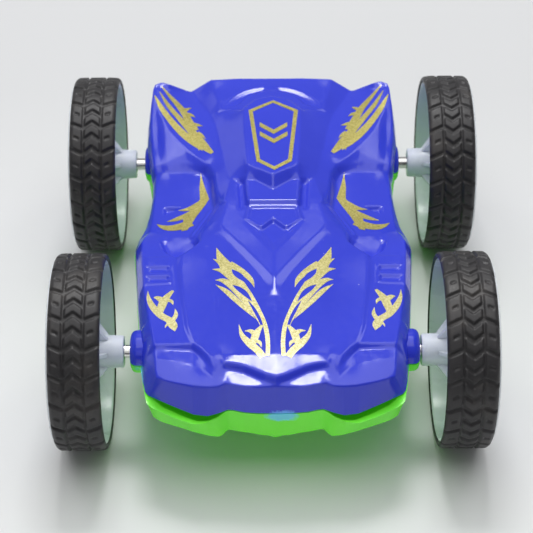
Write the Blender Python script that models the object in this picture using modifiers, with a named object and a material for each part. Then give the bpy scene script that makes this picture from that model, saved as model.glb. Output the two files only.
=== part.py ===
"""Double-sided friction stunt car: two clam-shell body halves around a
flywheel gearbox that drives both wheelsets.

Units are metres, +Z up.  The origin is on the ground, midway between the
axles, on the centre plane.  +X is across the car, the bonnet end is at -Y.
"Front" is -Y and "rear" +Y; "left" is -X and "right" +X, as seen looking
along +Y.  All sizes are in millimetres and the helpers take millimetres.
"""
import math

import bmesh
import bpy
from mathutils import Matrix, Vector
from mathutils.bvhtree import BVHTree

MM = 0.001
ENDS = ((-1, "front"), (1, "rear"))
SIDES = ((-1, "left"), (1, "right"))

# ------------------------------------------------------------ shared sizes, mm
TYRE_R = 22.0
AXLE_Z = TYRE_R          # height of the axles and of the parting plane
WHEELBASE = 70.2
AXLE_Y = WHEELBASE / 2
AXLE_R = 1.5
BORE_R = 1.8             # axle bearing in the shell bosses and the gearbox
FIT = 0.12               # radial play of a close-fitting bore
BOX_X = (10.5, 12.0)     # gearbox side plates, inner and outer face
PLATE_HALF_Z = 7.0       # half the height of a side plate
PIN_END = BOX_X[1] - 0.4  # pins and flywheel shaft stop inside the outer faces

# ------------------------------------------------------------- clean the file
for old in list(bpy.data.objects):
    bpy.data.objects.remove(old, do_unlink=True)

PARTS = bpy.data.collections.new("stunt_car")
CUTTERS = bpy.data.collections.new("cutters")
bpy.context.scene.collection.children.link(PARTS)
bpy.context.scene.collection.children.link(CUTTERS)


# ------------------------------------------------------------------ materials
def material(name, rgb, roughness, metallic=0.0, **extra):
    """A Principled material; `extra` names further inputs, _ for a space."""
    mat = bpy.data.materials.new(name)
    mat.use_nodes = True
    inputs = mat.node_tree.nodes["Principled BSDF"].inputs
    inputs["Base Color"].default_value = (*rgb, 1.0)
    inputs["Roughness"].default_value = roughness
    inputs["Metallic"].default_value = metallic
    for key, value in extra.items():
        inputs[key.replace("_", " ")].default_value = value
    mat.diffuse_color = (*rgb, 1.0)
    return mat


def axle_steel(end_word):
    return material(end_word + "_axle_steel", rgb=(0.72, 0.73, 0.74),
                    roughness=0.18, metallic=1.0)


def gear_plastic(end_word):
    return material(end_word + "_gear_plastic", rgb=(0.80, 0.79, 0.74),
                    roughness=0.45)


def rim_plastic(end_word, side_word):
    return material("rim_plastic_%s_%s" % (end_word, side_word),
                    rgb=(0.50, 0.55, 0.64), roughness=0.25,
                    Transmission_Weight=0.45)


def tyre_rubber(end_word, side_word):
    return material("tyre_rubber_%s_%s" % (end_word, side_word),
                    rgb=(0.045, 0.043, 0.042), roughness=0.75)


def pin_steel(pin_name):
    return material(pin_name + "_steel", rgb=(0.60, 0.60, 0.62),
                    roughness=0.25, metallic=1.0)


def screw_steel(screw_name):
    return material(screw_name + "_steel", rgb=(0.55, 0.55, 0.57),
                    roughness=0.3, metallic=1.0)


# -------------------------------------------------------------------- objects
def keep(name, mesh, mat, origin=(0, 0, 0), parent=None, smooth=True):
    """Put a mesh, drawn around `origin`, in the scene as a named part."""
    ob = bpy.data.objects.new(name, mesh)
    ob.location = Vector(origin) * MM
    PARTS.objects.link(ob)
    mesh.materials.clear()
    mesh.materials.append(mat)
    if smooth:
        mesh.shade_smooth()
        mesh.set_sharp_from_angle(angle=math.radians(35))
    if parent is not None:
        ob.location = ob.location - parent.location
        ob.parent = parent
    return ob


def pivot(name, y, x=0.0):
    """An empty on a spin axis; everything that turns there hangs on it."""
    empty = bpy.data.objects.new(name, None)
    empty.location = Vector((x, y, AXLE_Z)) * MM
    empty.empty_display_size = 0.004
    PARTS.objects.link(empty)
    return empty


def boolean(ob, name, mesh, origin, operation):
    """Combine `ob` with a mesh kept as a hidden helper; return the helper."""
    helper = bpy.data.objects.new(name, mesh)
    helper.location = Vector(origin) * MM
    helper.hide_render = True
    helper.display_type = "WIRE"
    CUTTERS.objects.link(helper)
    mod = ob.modifiers.new("bool_" + name, "BOOLEAN")
    mod.operation = operation
    mod.solver = "EXACT"
    mod.object = helper
    return helper


def fuse(ob, name, mesh, origin=(0, 0, 0)):
    return boolean(ob, name, mesh, origin, "UNION")


def cut(ob, name, mesh, origin=(0, 0, 0)):
    return boolean(ob, name, mesh, origin, "DIFFERENCE")


# --------------------------------------------------------------------- meshes
def to_mesh(bm, name):
    mesh = bpy.data.meshes.new(name)
    bm.to_mesh(mesh)
    bm.free()
    return mesh


def cylinder(name, radius, length, sides, matrix):
    bm = bmesh.new()
    bmesh.ops.create_cone(bm, cap_ends=True, segments=sides,
                          radius1=radius * MM, radius2=radius * MM,
                          depth=length * MM, matrix=matrix)
    return to_mesh(bm, name)


def rod(radius, x0, x1, sides):
    """A cylinder mesh along X, from x0 to x1."""
    place = Matrix.Translation(Vector(((x0 + x1) / 2 * MM, 0, 0)))
    turn = Matrix.Rotation(math.pi / 2, 4, "Y")
    return cylinder("rod", radius, abs(x1 - x0), sides, place @ turn)


def upright(radius, z0, z1, sides):
    """A cylinder mesh along Z, from z0 to z1."""
    place = Matrix.Translation(Vector((0, 0, (z0 + z1) / 2 * MM)))
    return cylinder("upright", radius, abs(z1 - z0), sides, place)


def block(x, y, z):
    """A box mesh; x, y, z are (low, high) pairs."""
    bm = bmesh.new()
    size = Matrix.Diagonal(Vector(((x[1] - x[0]) * MM, (y[1] - y[0]) * MM,
                                   (z[1] - z[0]) * MM, 1)))
    place = Matrix.Translation(Vector((sum(x), sum(y), sum(z))) * (MM / 2))
    bmesh.ops.create_cube(bm, size=1.0, matrix=place @ size)
    return to_mesh(bm, "block")


def outline(points, x0, x1):
    """A flat outline of (y, z) points, extruded along X by a filled curve."""
    curve = bpy.data.curves.new("outline", "CURVE")
    curve.dimensions = "2D"
    curve.fill_mode = "BOTH"
    curve.extrude = abs(x1 - x0) / 2 * MM
    spline = curve.splines.new("POLY")
    spline.points.add(len(points) - 1)
    for point, (y, z) in zip(spline.points, points):
        point.co = (-z * MM, y * MM, 0, 1)
    spline.use_cyclic_u = True
    temp = bpy.data.objects.new("outline", curve)
    CUTTERS.objects.link(temp)
    bpy.context.view_layer.update()
    evaluated = temp.evaluated_get(bpy.context.evaluated_depsgraph_get())
    mesh = bpy.data.meshes.new_from_object(evaluated)
    bpy.data.objects.remove(temp, do_unlink=True)

    # weld the caps to the sides and stand the outline up across X
    bm = bmesh.new()
    bm.from_mesh(mesh)
    bmesh.ops.remove_doubles(bm, verts=bm.verts, dist=1e-7)
    bm.transform(Matrix.Translation(Vector(((x0 + x1) / 2 * MM, 0, 0)))
                 @ Matrix.Rotation(math.pi / 2, 4, "Y"))
    bmesh.ops.recalc_face_normals(bm, faces=bm.faces)
    bm.to_mesh(mesh)
    bm.free()
    return mesh


def turned(name, profile, steps, mat, origin, side=1, closed=False,
           parent=None):
    """A profile of (radius, height) pairs spun about its own Z axis, which
    then points along +X (side 1) or -X (side -1).  The profile runs down its
    outer side."""
    mesh = bpy.data.meshes.new(name)
    verts = [(radius * MM, 0, height * MM) for radius, height in profile]
    edges = [(i, i + 1) for i in range(len(verts) - 1)]
    if closed:
        edges.append((len(verts) - 1, 0))
    mesh.from_pydata(verts, edges, [])
    ob = keep(name, mesh, mat, origin, parent, smooth=False)
    ob.rotation_euler = (0, math.radians(90 * side), 0)
    mod = ob.modifiers.new("spin", "SCREW")
    mod.axis = "Z"
    mod.steps = steps
    mod.render_steps = steps
    mod.use_merge_vertices = True
    mod.merge_threshold = 0.00001
    mod.use_smooth_shade = True
    return ob


# ---------------------------------------------------------------- gear wheels
MODULE = 0.6
PRESSURE = math.radians(20)
ADDENDUM, DEDENDUM = 0.8, 1.15       # in modules
THINNED = 0.16                       # taken off each tooth's thickness, mm
T_AXLE, T_FLY = 25, 14               # teeth on the axle and flywheel gears
T_PINION_1, T_GEAR_1 = 10, 27        # idler 1, next to the axle
T_PINION_2, T_GEAR_2 = 11, 30        # idler 2, next to the flywheel
LAYER_1 = (-9.0, -6.0)               # x spans the gears run in
LAYER_2 = (-5.4, -3.0)
LAYER_3 = (-2.0, 0.0)
PINION_SINK = 0.4                    # idler pinion's overlap into its gear


def centre_distance(teeth_a, teeth_b):
    return MODULE * (teeth_a + teeth_b) / 2


# the gear train runs along Y, all on the parting plane
IDLER_1_Y = AXLE_Y - centre_distance(T_AXLE, T_PINION_1)
IDLER_2_Y = IDLER_1_Y - centre_distance(T_GEAR_1, T_PINION_2)


def involute(angle):
    return math.tan(angle) - angle


def gear_points(teeth, phase):
    """Straight-flanked teeth drawn between two points of the involute.  A
    tooth is centred on the angle `phase`, measured from +Y towards +Z."""
    pitch_r = MODULE * teeth / 2
    tip_r = pitch_r + ADDENDUM * MODULE
    root_r = pitch_r - DEDENDUM * MODULE
    base_r = pitch_r * math.cos(PRESSURE)
    half = math.pi / (2 * teeth) - THINNED / (2 * pitch_r)

    def half_angle(radius):
        radius = max(radius, base_r)
        return half + involute(PRESSURE) - involute(math.acos(base_r / radius))

    at_root = min(half_angle(root_r), math.pi / teeth * 0.9)
    at_tip = half_angle(tip_r)
    points = []
    for k in range(teeth):
        mid = phase + 2 * math.pi * k / teeth
        for radius, turn in ((root_r, -at_root), (tip_r, -at_tip),
                             (tip_r, at_tip), (root_r, at_root)):
            points.append((radius * math.cos(mid + turn),
                           radius * math.sin(mid + turn)))
    return points


def toward_flywheel(end):
    """Angle from one end's gears towards the flywheel."""
    return 0.0 if end < 0 else math.pi


def simple_gear(name, teeth, phase, layer, bore, mat, origin, parent):
    ob = keep(name, outline(gear_points(teeth, phase), *layer), mat, origin,
              parent)
    cut(ob, name + "_bore", rod(bore, layer[0] - 1, layer[1] + 1, sides=16),
        origin)


# ---------------------------------------------------------------- body shells
SKIN = 1.3               # wall of the moulded shells
SPLIT = 0.15             # half the gap at the parting line
RUNOVER = 1.2            # skin drawn past the parting line, then trimmed off
BOSS_R = 4.8             # axle bosses
BOSS_X = (26.5, 32.2)
# screw pillars that hold the two shells together
PILLAR_X = 21.0
PILLAR_YS = (-23.0, 27.0)
PILLAR_R_UPPER = 2.5
PILLAR_R_LOWER = 3.3
PILOT_R = 0.95           # screw holes in the upper pillars
PILOT_DEPTH = 6.0
CLEAR_R = 1.1            # through holes in the lower pillars
SINK_R = 2.3             # recesses for the screw heads
SINK_DROP = 4.5          # from the parting plane down to the recess floor
BELOW_SHELL = 18.0       # drop that takes a cutter right out below
# saddles over the gearbox side plates
SADDLE_INSET = 0.1       # inside each face of the plate
SADDLE_GAP = 0.4         # clear of the plate's edge
SADDLE_Y = 30.0
SADDLE_HALF_Y = 3.0

# One half (x >= 0) of the outer skin, as (x, y, height) points.  Each row
# crosses the car from its centre line to the parting line at its side;
# heights are above the parting line.  The columns are: centre, bonnet crown /
# roof edge, bonnet edge / cabin foot, shoulder / inner wing crease, fender
# inside / outer wing crease, fender edge, parting line.
ROWS = [
    # nose wall, at the parting line
    [(0, -55.0, 0), (5.5, -54.5, 0), (10.2, -53.7, 0), (14.5, -55.6, 0),
     (21.7, -52.7, 0), (27.2, -49.3, 0), (28.4, -48.9, 0)],
    # top of the nose wall
    [(0, -54.2, 7.5), (5.5, -53.9, 7.5), (10.0, -53.3, 7.5), (13.2, -54.0, 7.0),
     (21.3, -51.4, 5.8), (25.3, -49.2, 5.6), (28.7, -47.5, 0)],
    # foot of the bonnet step
    [(0, -53.4, 8.2), (5.5, -51.8, 8.2), (10.8, -49.6, 8.2), (15.0, -47.4, 7.5),
     (20.0, -46.4, 7.2), (25.7, -44.8, 7.0), (29.2, -44.8, 0)],
    # bonnet lip
    [(0, -52.8, 9.3), (5.5, -51.0, 9.3), (11.0, -48.7, 9.4), (14.7, -46.5, 9.2),
     (18.5, -42.4, 8.6), (25.8, -41.7, 7.9), (29.5, -41.8, 0)],
    # bonnet
    [(0, -40.0, 10.4), (6.0, -41.0, 10.1), (11.9, -42.6, 9.6),
     (16.9, -42.6, 9.2), (19.2, -39.0, 8.6), (26.5, -38.8, 7.9),
     (29.8, -38.6, 0)],
    [(0, -35.0, 10.8), (6.4, -35.0, 10.4), (13.0, -35.0, 9.7),
     (18.7, -35.1, 9.4), (20.2, -34.8, 8.6), (27.5, -35.0, 7.9),
     (30.1, -35.2, 0)],
    [(0, -28.0, 11.3), (7.0, -28.0, 10.9), (13.7, -28.5, 9.8),
     (20.0, -28.0, 9.4), (21.4, -28.0, 8.6), (28.6, -28.4, 7.9),
     (30.6, -28.5, 0)],
    [(0, -21.0, 11.8), (7.6, -21.0, 11.3), (14.6, -21.5, 10.0),
     (21.0, -21.5, 9.4), (22.5, -21.5, 8.6), (29.6, -21.6, 7.9),
     (31.1, -21.8, 0)],
    [(0, -14.0, 12.2), (8.0, -14.2, 11.5), (15.5, -14.2, 10.0),
     (21.7, -14.4, 9.4), (23.4, -13.8, 8.6), (30.3, -13.6, 7.9),
     (31.8, -13.8, 0)],
    # windscreen foot and the intake behind the front fender
    [(0, -9.0, 11.6), (7.8, -9.0, 11.2), (15.6, -8.6, 10.0), (18.6, -8.4, 9.3),
     (21.5, -9.6, 8.4), (30.8, -8.8, 7.6), (32.2, -9.0, 0)],
    [(0, -3.0, 11.6), (7.4, -3.0, 11.3), (12.8, -2.8, 10.8), (15.6, -2.4, 8.8),
     (20.0, -2.6, 7.0), (30.2, -2.8, 5.8), (32.9, -3.0, 0)],
    [(0, 1.4, 12.2), (6.4, 1.4, 12.0), (9.8, 1.4, 11.3), (12.8, 1.9, 11.0),
     (16.4, 2.6, 7.3), (29.2, 1.6, 5.1), (32.9, 0.6, 0)],
    # canopy
    [(0, 3.0, 13.4), (6.2, 3.0, 13.4), (9.2, 3.4, 11.8), (12.8, 4.0, 11.1),
     (15.9, 4.5, 7.4), (29.1, 3.8, 5.1), (32.3, 3.6, 0)],
    [(0, 8.0, 14.0), (6.9, 8.4, 13.8), (9.4, 8.6, 12.3), (13.0, 8.8, 11.3),
     (14.9, 8.6, 7.5), (28.8, 8.2, 5.4), (30.0, 8.0, 0)],
    # roof plate
    [(0, 12.6, 15.0), (5.6, 13.0, 15.0), (9.2, 13.3, 12.5), (13.2, 13.7, 11.5),
     (15.3, 13.5, 7.5), (28.6, 13.0, 5.7), (29.3, 12.8, 0)],
    [(0, 18.0, 15.0), (5.6, 18.0, 15.0), (8.6, 18.0, 12.5), (14.0, 18.2, 11.5),
     (15.9, 18.0, 7.6), (28.4, 17.8, 5.9), (28.9, 17.6, 0)],
    [(0, 22.0, 15.0), (5.6, 22.0, 15.0), (8.9, 22.0, 12.5), (14.8, 22.0, 11.5),
     (17.2, 21.9, 8.4), (28.5, 22.0, 6.4), (29.0, 22.0, 0)],
    [(0, 28.5, 15.0), (5.6, 28.5, 15.0), (9.3, 28.5, 12.5), (16.0, 28.5, 11.3),
     (21.6, 28.2, 9.9), (29.2, 28.0, 7.2), (30.0, 28.5, 0)],
    [(0, 34.8, 15.0), (5.6, 34.8, 15.0), (9.7, 34.8, 12.5), (17.3, 34.9, 11.2),
     (25.2, 34.9, 10.5), (30.2, 34.8, 8.4), (31.2, 34.8, 0)],
    [(0, 41.5, 15.0), (5.8, 41.0, 15.0), (10.1, 40.8, 12.5), (18.2, 39.8, 11.0),
     (27.3, 39.8, 11.1), (30.4, 40.0, 10.0), (31.2, 40.0, 0)],
    # tail deck and wing tips
    [(0, 48.0, 13.8), (7.6, 47.6, 13.6), (12.5, 47.0, 12.6), (19.6, 46.0, 10.2),
     (28.6, 45.6, 12.1), (30.2, 46.0, 11.7), (31.0, 46.0, 0)],
    [(0, 54.3, 13.2), (9.0, 54.6, 13.0), (15.8, 55.0, 12.5), (21.4, 54.2, 9.2),
     (28.5, 52.2, 13.4), (30.1, 49.8, 12.8), (30.8, 50.2, 0)],
    # tail wall, at the parting line
    [(0, 55.2, 0), (9.0, 55.5, 0), (15.6, 55.9, 0), (21.2, 55.2, 0),
     (26.2, 53.6, 0), (29.4, 52.0, 0), (30.5, 51.2, 0)],
]
# The lower shell stands proud at its front corners: column of the first
# row: (shift in x, shift in y)
NOSE_LEDGE = {3: (0.0, -1.6), 4: (0.0, -1.6), 5: (0.5, -1.6), 6: (0.5, -0.64)}


def skin_half(lower):
    """A bmesh of one shell's outer skin on the +X side."""
    direction = -1 if lower else 1
    bm = bmesh.new()
    grid = []
    for i, row in enumerate(ROWS):
        verts = []
        for j, (x, y, height) in enumerate(row):
            if height == 0:
                height = -RUNOVER
            if lower and i == 0 and j in NOSE_LEDGE:
                x += NOSE_LEDGE[j][0]
                y += NOSE_LEDGE[j][1]
            point = Vector((x, y, AXLE_Z + direction * height))
            verts.append(bm.verts.new(point * MM))
        grid.append(verts)
    for row, following in zip(grid, grid[1:]):
        for j in range(len(row) - 1):
            face = [row[j], row[j + 1], following[j + 1], following[j]]
            bm.faces.new(face[::-1] if lower else face)
    return bm


def mid_skin_z(tree, x, y, lower):
    """Z of the middle of the shell wall, found by a ray from outside."""
    direction = -1 if lower else 1
    start = Vector((abs(x), y, -100 if lower else 200)) * MM
    hit = tree.ray_cast(start, Vector((0, 0, -direction)))[0]
    height = abs(hit.z / MM - AXLE_Z) - SKIN * 0.5
    return AXLE_Z + direction * height


def pillar(tree, x, y, radius, lower, sides=14):
    """A pillar from past the parting line into the skin over or under it."""
    foot_z = AXLE_Z + (RUNOVER if lower else -RUNOVER)
    bm = bmesh.new()
    foot, head = [], []
    for k in range(sides):
        angle = 2 * math.pi * k / sides
        px = x + radius * math.cos(angle)
        py = y + radius * math.sin(angle)
        foot.append(bm.verts.new(Vector((px, py, foot_z)) * MM))
        top_z = mid_skin_z(tree, px, py, lower)
        head.append(bm.verts.new(Vector((px, py, top_z)) * MM))
    tip = bm.verts.new(Vector((x, y, mid_skin_z(tree, x, y, lower))) * MM)
    bm.faces.new(foot[::-1])
    for k in range(sides):
        n = (k + 1) % sides
        bm.faces.new([foot[k], foot[n], head[n], head[k]])
        bm.faces.new([head[k], head[n], tip])
    bmesh.ops.recalc_face_normals(bm, faces=bm.faces)
    return to_mesh(bm, "pillar")


def add_wall(ob):
    """Mirror the half skin and thicken it inwards."""
    mirror = ob.modifiers.new("other_side", "MIRROR")
    mirror.use_axis = (True, False, False)
    mirror.use_clip = True
    mirror.merge_threshold = 0.00001
    wall = ob.modifiers.new("wall", "SOLIDIFY")
    wall.thickness = SKIN * MM
    wall.offset = -1.0
    wall.use_even_offset = True


def fuse_inner_features(ob, name, tree, lower):
    direction = -1 if lower else 1
    for end, _ in ENDS:
        for side, _ in SIDES:
            x0, x1 = sorted((side * BOSS_X[0], side * BOSS_X[1]))
            fuse(ob, "%s_boss_%d_%d" % (name, end, side),
                 rod(BOSS_R, x0, x1, sides=22), (0, end * AXLE_Y, AXLE_Z))
    radius = PILLAR_R_LOWER if lower else PILLAR_R_UPPER
    for y in PILLAR_YS:
        for side, _ in SIDES:
            fuse(ob, "%s_pillar_%d_%d" % (name, y, side),
                 pillar(tree, side * PILLAR_X, y, radius, lower))
    # saddles that clamp the gearbox side plates
    near_z = AXLE_Z + direction * (PLATE_HALF_Z + SADDLE_GAP)
    for side, _ in SIDES:
        for y in (-SADDLE_Y, SADDLE_Y):
            far_z = mid_skin_z(tree, sum(BOX_X) / 2, y, lower)
            x = sorted((side * (BOX_X[0] + SADDLE_INSET),
                        side * (BOX_X[1] - SADDLE_INSET)))
            fuse(ob, "%s_saddle_%d_%d" % (name, y, side),
                 block(x, (y - SADDLE_HALF_Y, y + SADDLE_HALF_Y),
                       sorted((near_z, far_z))))


def cut_screw_holes(ob, name, lower):
    for y in PILLAR_YS:
        for side, _ in SIDES:
            tag = "%s_%d_%d" % (name, y, side)
            spot = (side * PILLAR_X, y, 0)
            if lower:
                bottom = AXLE_Z - BELOW_SHELL
                cut(ob, tag + "_hole",
                    upright(CLEAR_R, bottom, AXLE_Z + 1, sides=14), spot)
                cut(ob, tag + "_sink",
                    upright(SINK_R, bottom, AXLE_Z - SINK_DROP, sides=16), spot)
            else:
                cut(ob, tag + "_pilot",
                    upright(PILOT_R, AXLE_Z - 1, AXLE_Z + PILOT_DEPTH,
                            sides=12), spot)


def shell(name, lower, mat):
    bm = skin_half(lower)
    tree = BVHTree.FromBMesh(bm)
    ob = keep(name, to_mesh(bm, name), mat, smooth=False)
    add_wall(ob)
    fuse_inner_features(ob, name, tree, lower)

    # everything is cut off square at the parting line
    direction = -1 if lower else 1
    beyond = sorted((AXLE_Z + direction * SPLIT, AXLE_Z - direction * 6))
    cut(ob, name + "_trim", block((-45, 45), (-70, 70), beyond))

    for end, _ in ENDS:
        cut(ob, "%s_axle_hole_%d" % (name, end), rod(BORE_R, -36, 36, sides=16),
            (0, end * AXLE_Y, AXLE_Z))
    cut_screw_holes(ob, name, lower)


# --------------------------------------------------------------------- wheels
TREAD_W = 11.0
TRACK = {"front": 95.7, "rear": 98.8}    # over the outer tread edges
# the front wheelset's end play is taken up to one side
SHIFT = {"front": -0.5, "rear": 0.0}
# hub inner end, from the wheelset's middle
HUB_END = {"front": 33.1, "rear": 34.45}
AXLE_REACH = 7.9         # axle end, outward of the tread's inner edge
HUB_R = 3.6
RIM_R = 20.5
RIM_BORE = AXLE_R + FIT

# (radius, height outward from the tread's inner edge)
TYRE_PROFILE = [(20.6, TREAD_W), (21.4, TREAD_W), (TYRE_R, 10.1), (TYRE_R, 0.8),
                (21.4, -0.2), (20.6, -0.2)]


def rim_profile(hub_length):
    """Heights as for the tyre; the hub reaches `hub_length` inward."""
    return [(0, 9.6), (2.8, 9.6), (HUB_R, 8.8), (HUB_R + 0.1, 8.0),
            (18.9, 8.0), (19.2, 11.4), (RIM_R, 11.4), (RIM_R, 0.1),
            (20.1, 0.1), (19.4, 6.6), (4.2, 6.6), (HUB_R, -hub_length),
            (RIM_BORE, -hub_length), (RIM_BORE, 8.2), (0, 8.2)]


def wheelset(end, tag):
    y = end * AXLE_Y
    shift = SHIFT[tag]
    middle = (shift, y, AXLE_Z)
    axis = pivot(tag + "_wheelset_axis", y, shift)
    inner = TRACK[tag] / 2 - TREAD_W
    axle_end = inner + AXLE_REACH
    keep(tag + "_axle", rod(AXLE_R, -axle_end, axle_end, sides=24),
         axle_steel(tag), middle, axis)
    simple_gear(tag + "_axle_gear", T_AXLE, toward_flywheel(end),
                [x - shift for x in LAYER_1], AXLE_R + FIT, gear_plastic(tag),
                middle, axis)
    for side, word in SIDES:
        tread_edge = (shift + side * inner, y, AXLE_Z)
        turned("%s_%s_rim" % (tag, word), rim_profile(inner - HUB_END[tag]),
               steps=24, mat=rim_plastic(tag, word), origin=tread_edge,
               side=side, parent=axis)
        turned("%s_%s_tyre" % (tag, word), TYRE_PROFILE, steps=40,
               mat=tyre_rubber(tag, word), origin=tread_edge, side=side,
               closed=True, parent=axis)


# --------------------------------------------------------------------- idlers
IDLER_PIN_R = 0.8
IDLER_PLAY = 0.22        # idlers run freer on their pins than the other fits

# number, y, gear teeth, pinion teeth, gear layer, pinion layer, nylon colour
IDLERS = [
    (1, IDLER_1_Y, T_GEAR_1, T_PINION_1, LAYER_2, LAYER_1, (0.78, 0.76, 0.70)),
    (2, IDLER_2_Y, T_GEAR_2, T_PINION_2, LAYER_3, LAYER_2, (0.70, 0.20, 0.13)),
]


def idler(end, tag, number, y, gear_teeth, pinion_teeth, gear_layer,
          pinion_layer, rgb):
    """A pinion moulded on the face of a larger gear, and its fixed pin.  The
    pinion's gap faces the big gear's tooth at every mesh."""
    name = "%s_idler_%d" % (tag, number)
    origin = (0, end * y, AXLE_Z)
    inward = toward_flywheel(end)
    gap = math.pi - inward + math.pi / pinion_teeth
    nylon = material(name + "_nylon", rgb=rgb, roughness=0.42)
    ob = keep(name, outline(gear_points(gear_teeth, inward), *gear_layer),
              nylon, origin, pivot(name + "_axis", end * y))
    fuse(ob, name + "_pinion",
         outline(gear_points(pinion_teeth, gap), pinion_layer[0],
                 gear_layer[0] + PINION_SINK), origin)
    cut(ob, name + "_bore",
        rod(IDLER_PIN_R + IDLER_PLAY, pinion_layer[0] - 1, gear_layer[1] + 1,
            sides=12), origin)
    keep(name + "_pin", rod(IDLER_PIN_R, -PIN_END, PIN_END, sides=12),
         pin_steel(name + "_pin"), origin)


# ------------------------------------------------------------------- flywheel
FLY_X = (1.5, 8.0)
FLY_R = 9.5
FLY_CHAMFER = 0.4
FLY_RECESS = 1.6         # depth of the ring groove in the +X face
FLY_SHAFT_R = 1.0
FLY_BORE = FLY_SHAFT_R + FIT
PINION_OFFSET = 0.3      # both pinion ends lie this far to -X

FLYWHEEL_PROFILE = [
    (FLY_BORE, FLY_X[1]), (3.4, FLY_X[1]), (3.6, FLY_X[1] - FLY_RECESS),
    (7.4, FLY_X[1] - FLY_RECESS), (7.8, FLY_X[1]),
    (FLY_R - FLY_CHAMFER, FLY_X[1]), (FLY_R, FLY_X[1] - FLY_CHAMFER),
    (FLY_R, FLY_X[0] + FLY_CHAMFER), (FLY_R - FLY_CHAMFER, FLY_X[0]),
    (FLY_BORE, FLY_X[0]),
]


def flywheel():
    """The flywheel, its shaft and its pinion."""
    axis = pivot("flywheel_axis", 0.0)
    middle = (0, 0, AXLE_Z)
    turned("flywheel", FLYWHEEL_PROFILE, steps=28,
           mat=material("flywheel_steel", rgb=(0.42, 0.42, 0.43),
                        roughness=0.32, metallic=1.0),
           origin=middle, closed=True, parent=axis)
    keep("flywheel_shaft", rod(FLY_SHAFT_R, -PIN_END, PIN_END, sides=20),
         material("flywheel_shaft_steel", rgb=(0.62, 0.62, 0.64),
                  roughness=0.22, metallic=1.0), middle, axis)
    brass = material("pinion_brass", rgb=(0.72, 0.55, 0.22), roughness=0.3,
                     metallic=1.0)
    simple_gear("flywheel_pinion", T_FLY, math.pi / T_FLY,
                (LAYER_3[0] - PINION_OFFSET, FLY_X[0] - PINION_OFFSET),
                FLY_BORE, brass, middle, axis)


# -------------------------------------------------------------------- gearbox
POST_YS = (-45.5, 45.5)  # end pillars, fixed to the left plate
POST_ZS = (-3.2, 3.2)
POST_R = 1.7
POST_X = (-BOX_X[1] + 0.5, BOX_X[0] - 0.3)
WEB_HALF_Y = 0.6         # half the thickness of the web between two pillars
BOX_SCREW_R = 0.95
BOX_SCREW_HOLE_X = {"left": (3.0, 13.0), "right": (4.0, 13.0)}

# side plate outline, (y, z) from its middle
PLATE = [(-48, -4.6), (-43, -PLATE_HALF_Z), (43, -PLATE_HALF_Z), (48, -4.6),
         (48, 4.6), (43, PLATE_HALF_Z), (-43, PLATE_HALF_Z), (-48, 4.6)]

# shaft and pin holes in both plates: (y, radius)
PLATE_HOLES = ([(end * AXLE_Y, BORE_R) for end, _ in ENDS] + [(0.0, 1.3)]
               + [(end * y, IDLER_PIN_R + FIT) for end, _ in ENDS
                  for y in (IDLER_1_Y, IDLER_2_Y)])


def gearbox_plate(side, word):
    x = sorted((side * BOX_X[0], side * BOX_X[1]))
    abs_plastic = material("gearbox_%s_abs" % word, rgb=(0.09, 0.09, 0.10),
                           roughness=0.5)
    plate = keep("gearbox_" + word, outline(PLATE, *x), abs_plastic,
                 (0, 0, AXLE_Z))
    if word == "left":
        for y in POST_YS:
            for z in POST_ZS:
                fuse(plate, "gearbox_post_%d_%d" % (y, z),
                     rod(POST_R, *POST_X, sides=10), (0, y, AXLE_Z + z))
            fuse(plate, "gearbox_web_%d" % y,
                 block(POST_X, (y - WEB_HALF_Y, y + WEB_HALF_Y), POST_ZS),
                 (0, 0, AXLE_Z))
    for y, radius in PLATE_HOLES:
        cut(plate, "gearbox_hole_%s_%d" % (word, y * 10),
            rod(radius, -13, 13, sides=12), (0, y, AXLE_Z))
    for y in POST_YS:
        for z in POST_ZS:
            cut(plate, "gearbox_screw_hole_%s_%d_%d" % (word, y, z),
                rod(BOX_SCREW_R, *BOX_SCREW_HOLE_X[word], sides=8),
                (0, y, AXLE_Z + z))


# --------------------------------------------------------------------- screws
# (radius, height above the underside of the head)
BOX_SCREW = [(0, 1.2), (1.1, 1.1), (1.7, 0.7), (1.7, 0), (0.75, 0),
             (0.75, -6.4), (0, -7.0)]
SHELL_SCREW = [(0, 1.3), (1.3, 1.2), (1.9, 0.7), (1.9, 0), (0.8, 0),
               (0.8, -9.0), (0, -10.0)]
BOX_HEAD_X = BOX_X[1] + 0.3
SHELL_HEAD_Z = AXLE_Z - 4.8
SLOT_X, SLOT_Y, SLOT_Z = (-1.3, 1.3), (-0.25, 0.25), (-1.6, -0.6)


def gearbox_screws():
    """Screws through the right plate into the left plate's pillars."""
    for y, end_word in zip(POST_YS, ("front", "rear")):
        for z, level in zip(POST_ZS, ("low", "high")):
            name = "gearbox_screw_%s_%s" % (end_word, level)
            turned(name, BOX_SCREW, steps=10, mat=screw_steel(name),
                   origin=(BOX_HEAD_X, y, AXLE_Z + z))


def shell_screws():
    """Cross-slotted screws, heads down, in the shell pillars."""
    for y, end_word in zip(PILLAR_YS, ("front", "rear")):
        for side, word in SIDES:
            name = "shell_screw_%s_%s" % (end_word, word)
            spot = (side * PILLAR_X, y, SHELL_HEAD_Z)
            ob = turned(name, SHELL_SCREW, steps=14, mat=screw_steel(name),
                        origin=spot)
            ob.rotation_euler = (math.pi, 0, 0)
            for k in range(2):
                slot = cut(ob, name + "_slot_%d" % k,
                           block(SLOT_X, SLOT_Y, SLOT_Z), spot)
                slot.rotation_euler = (0, 0, k * math.pi / 2)


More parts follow.
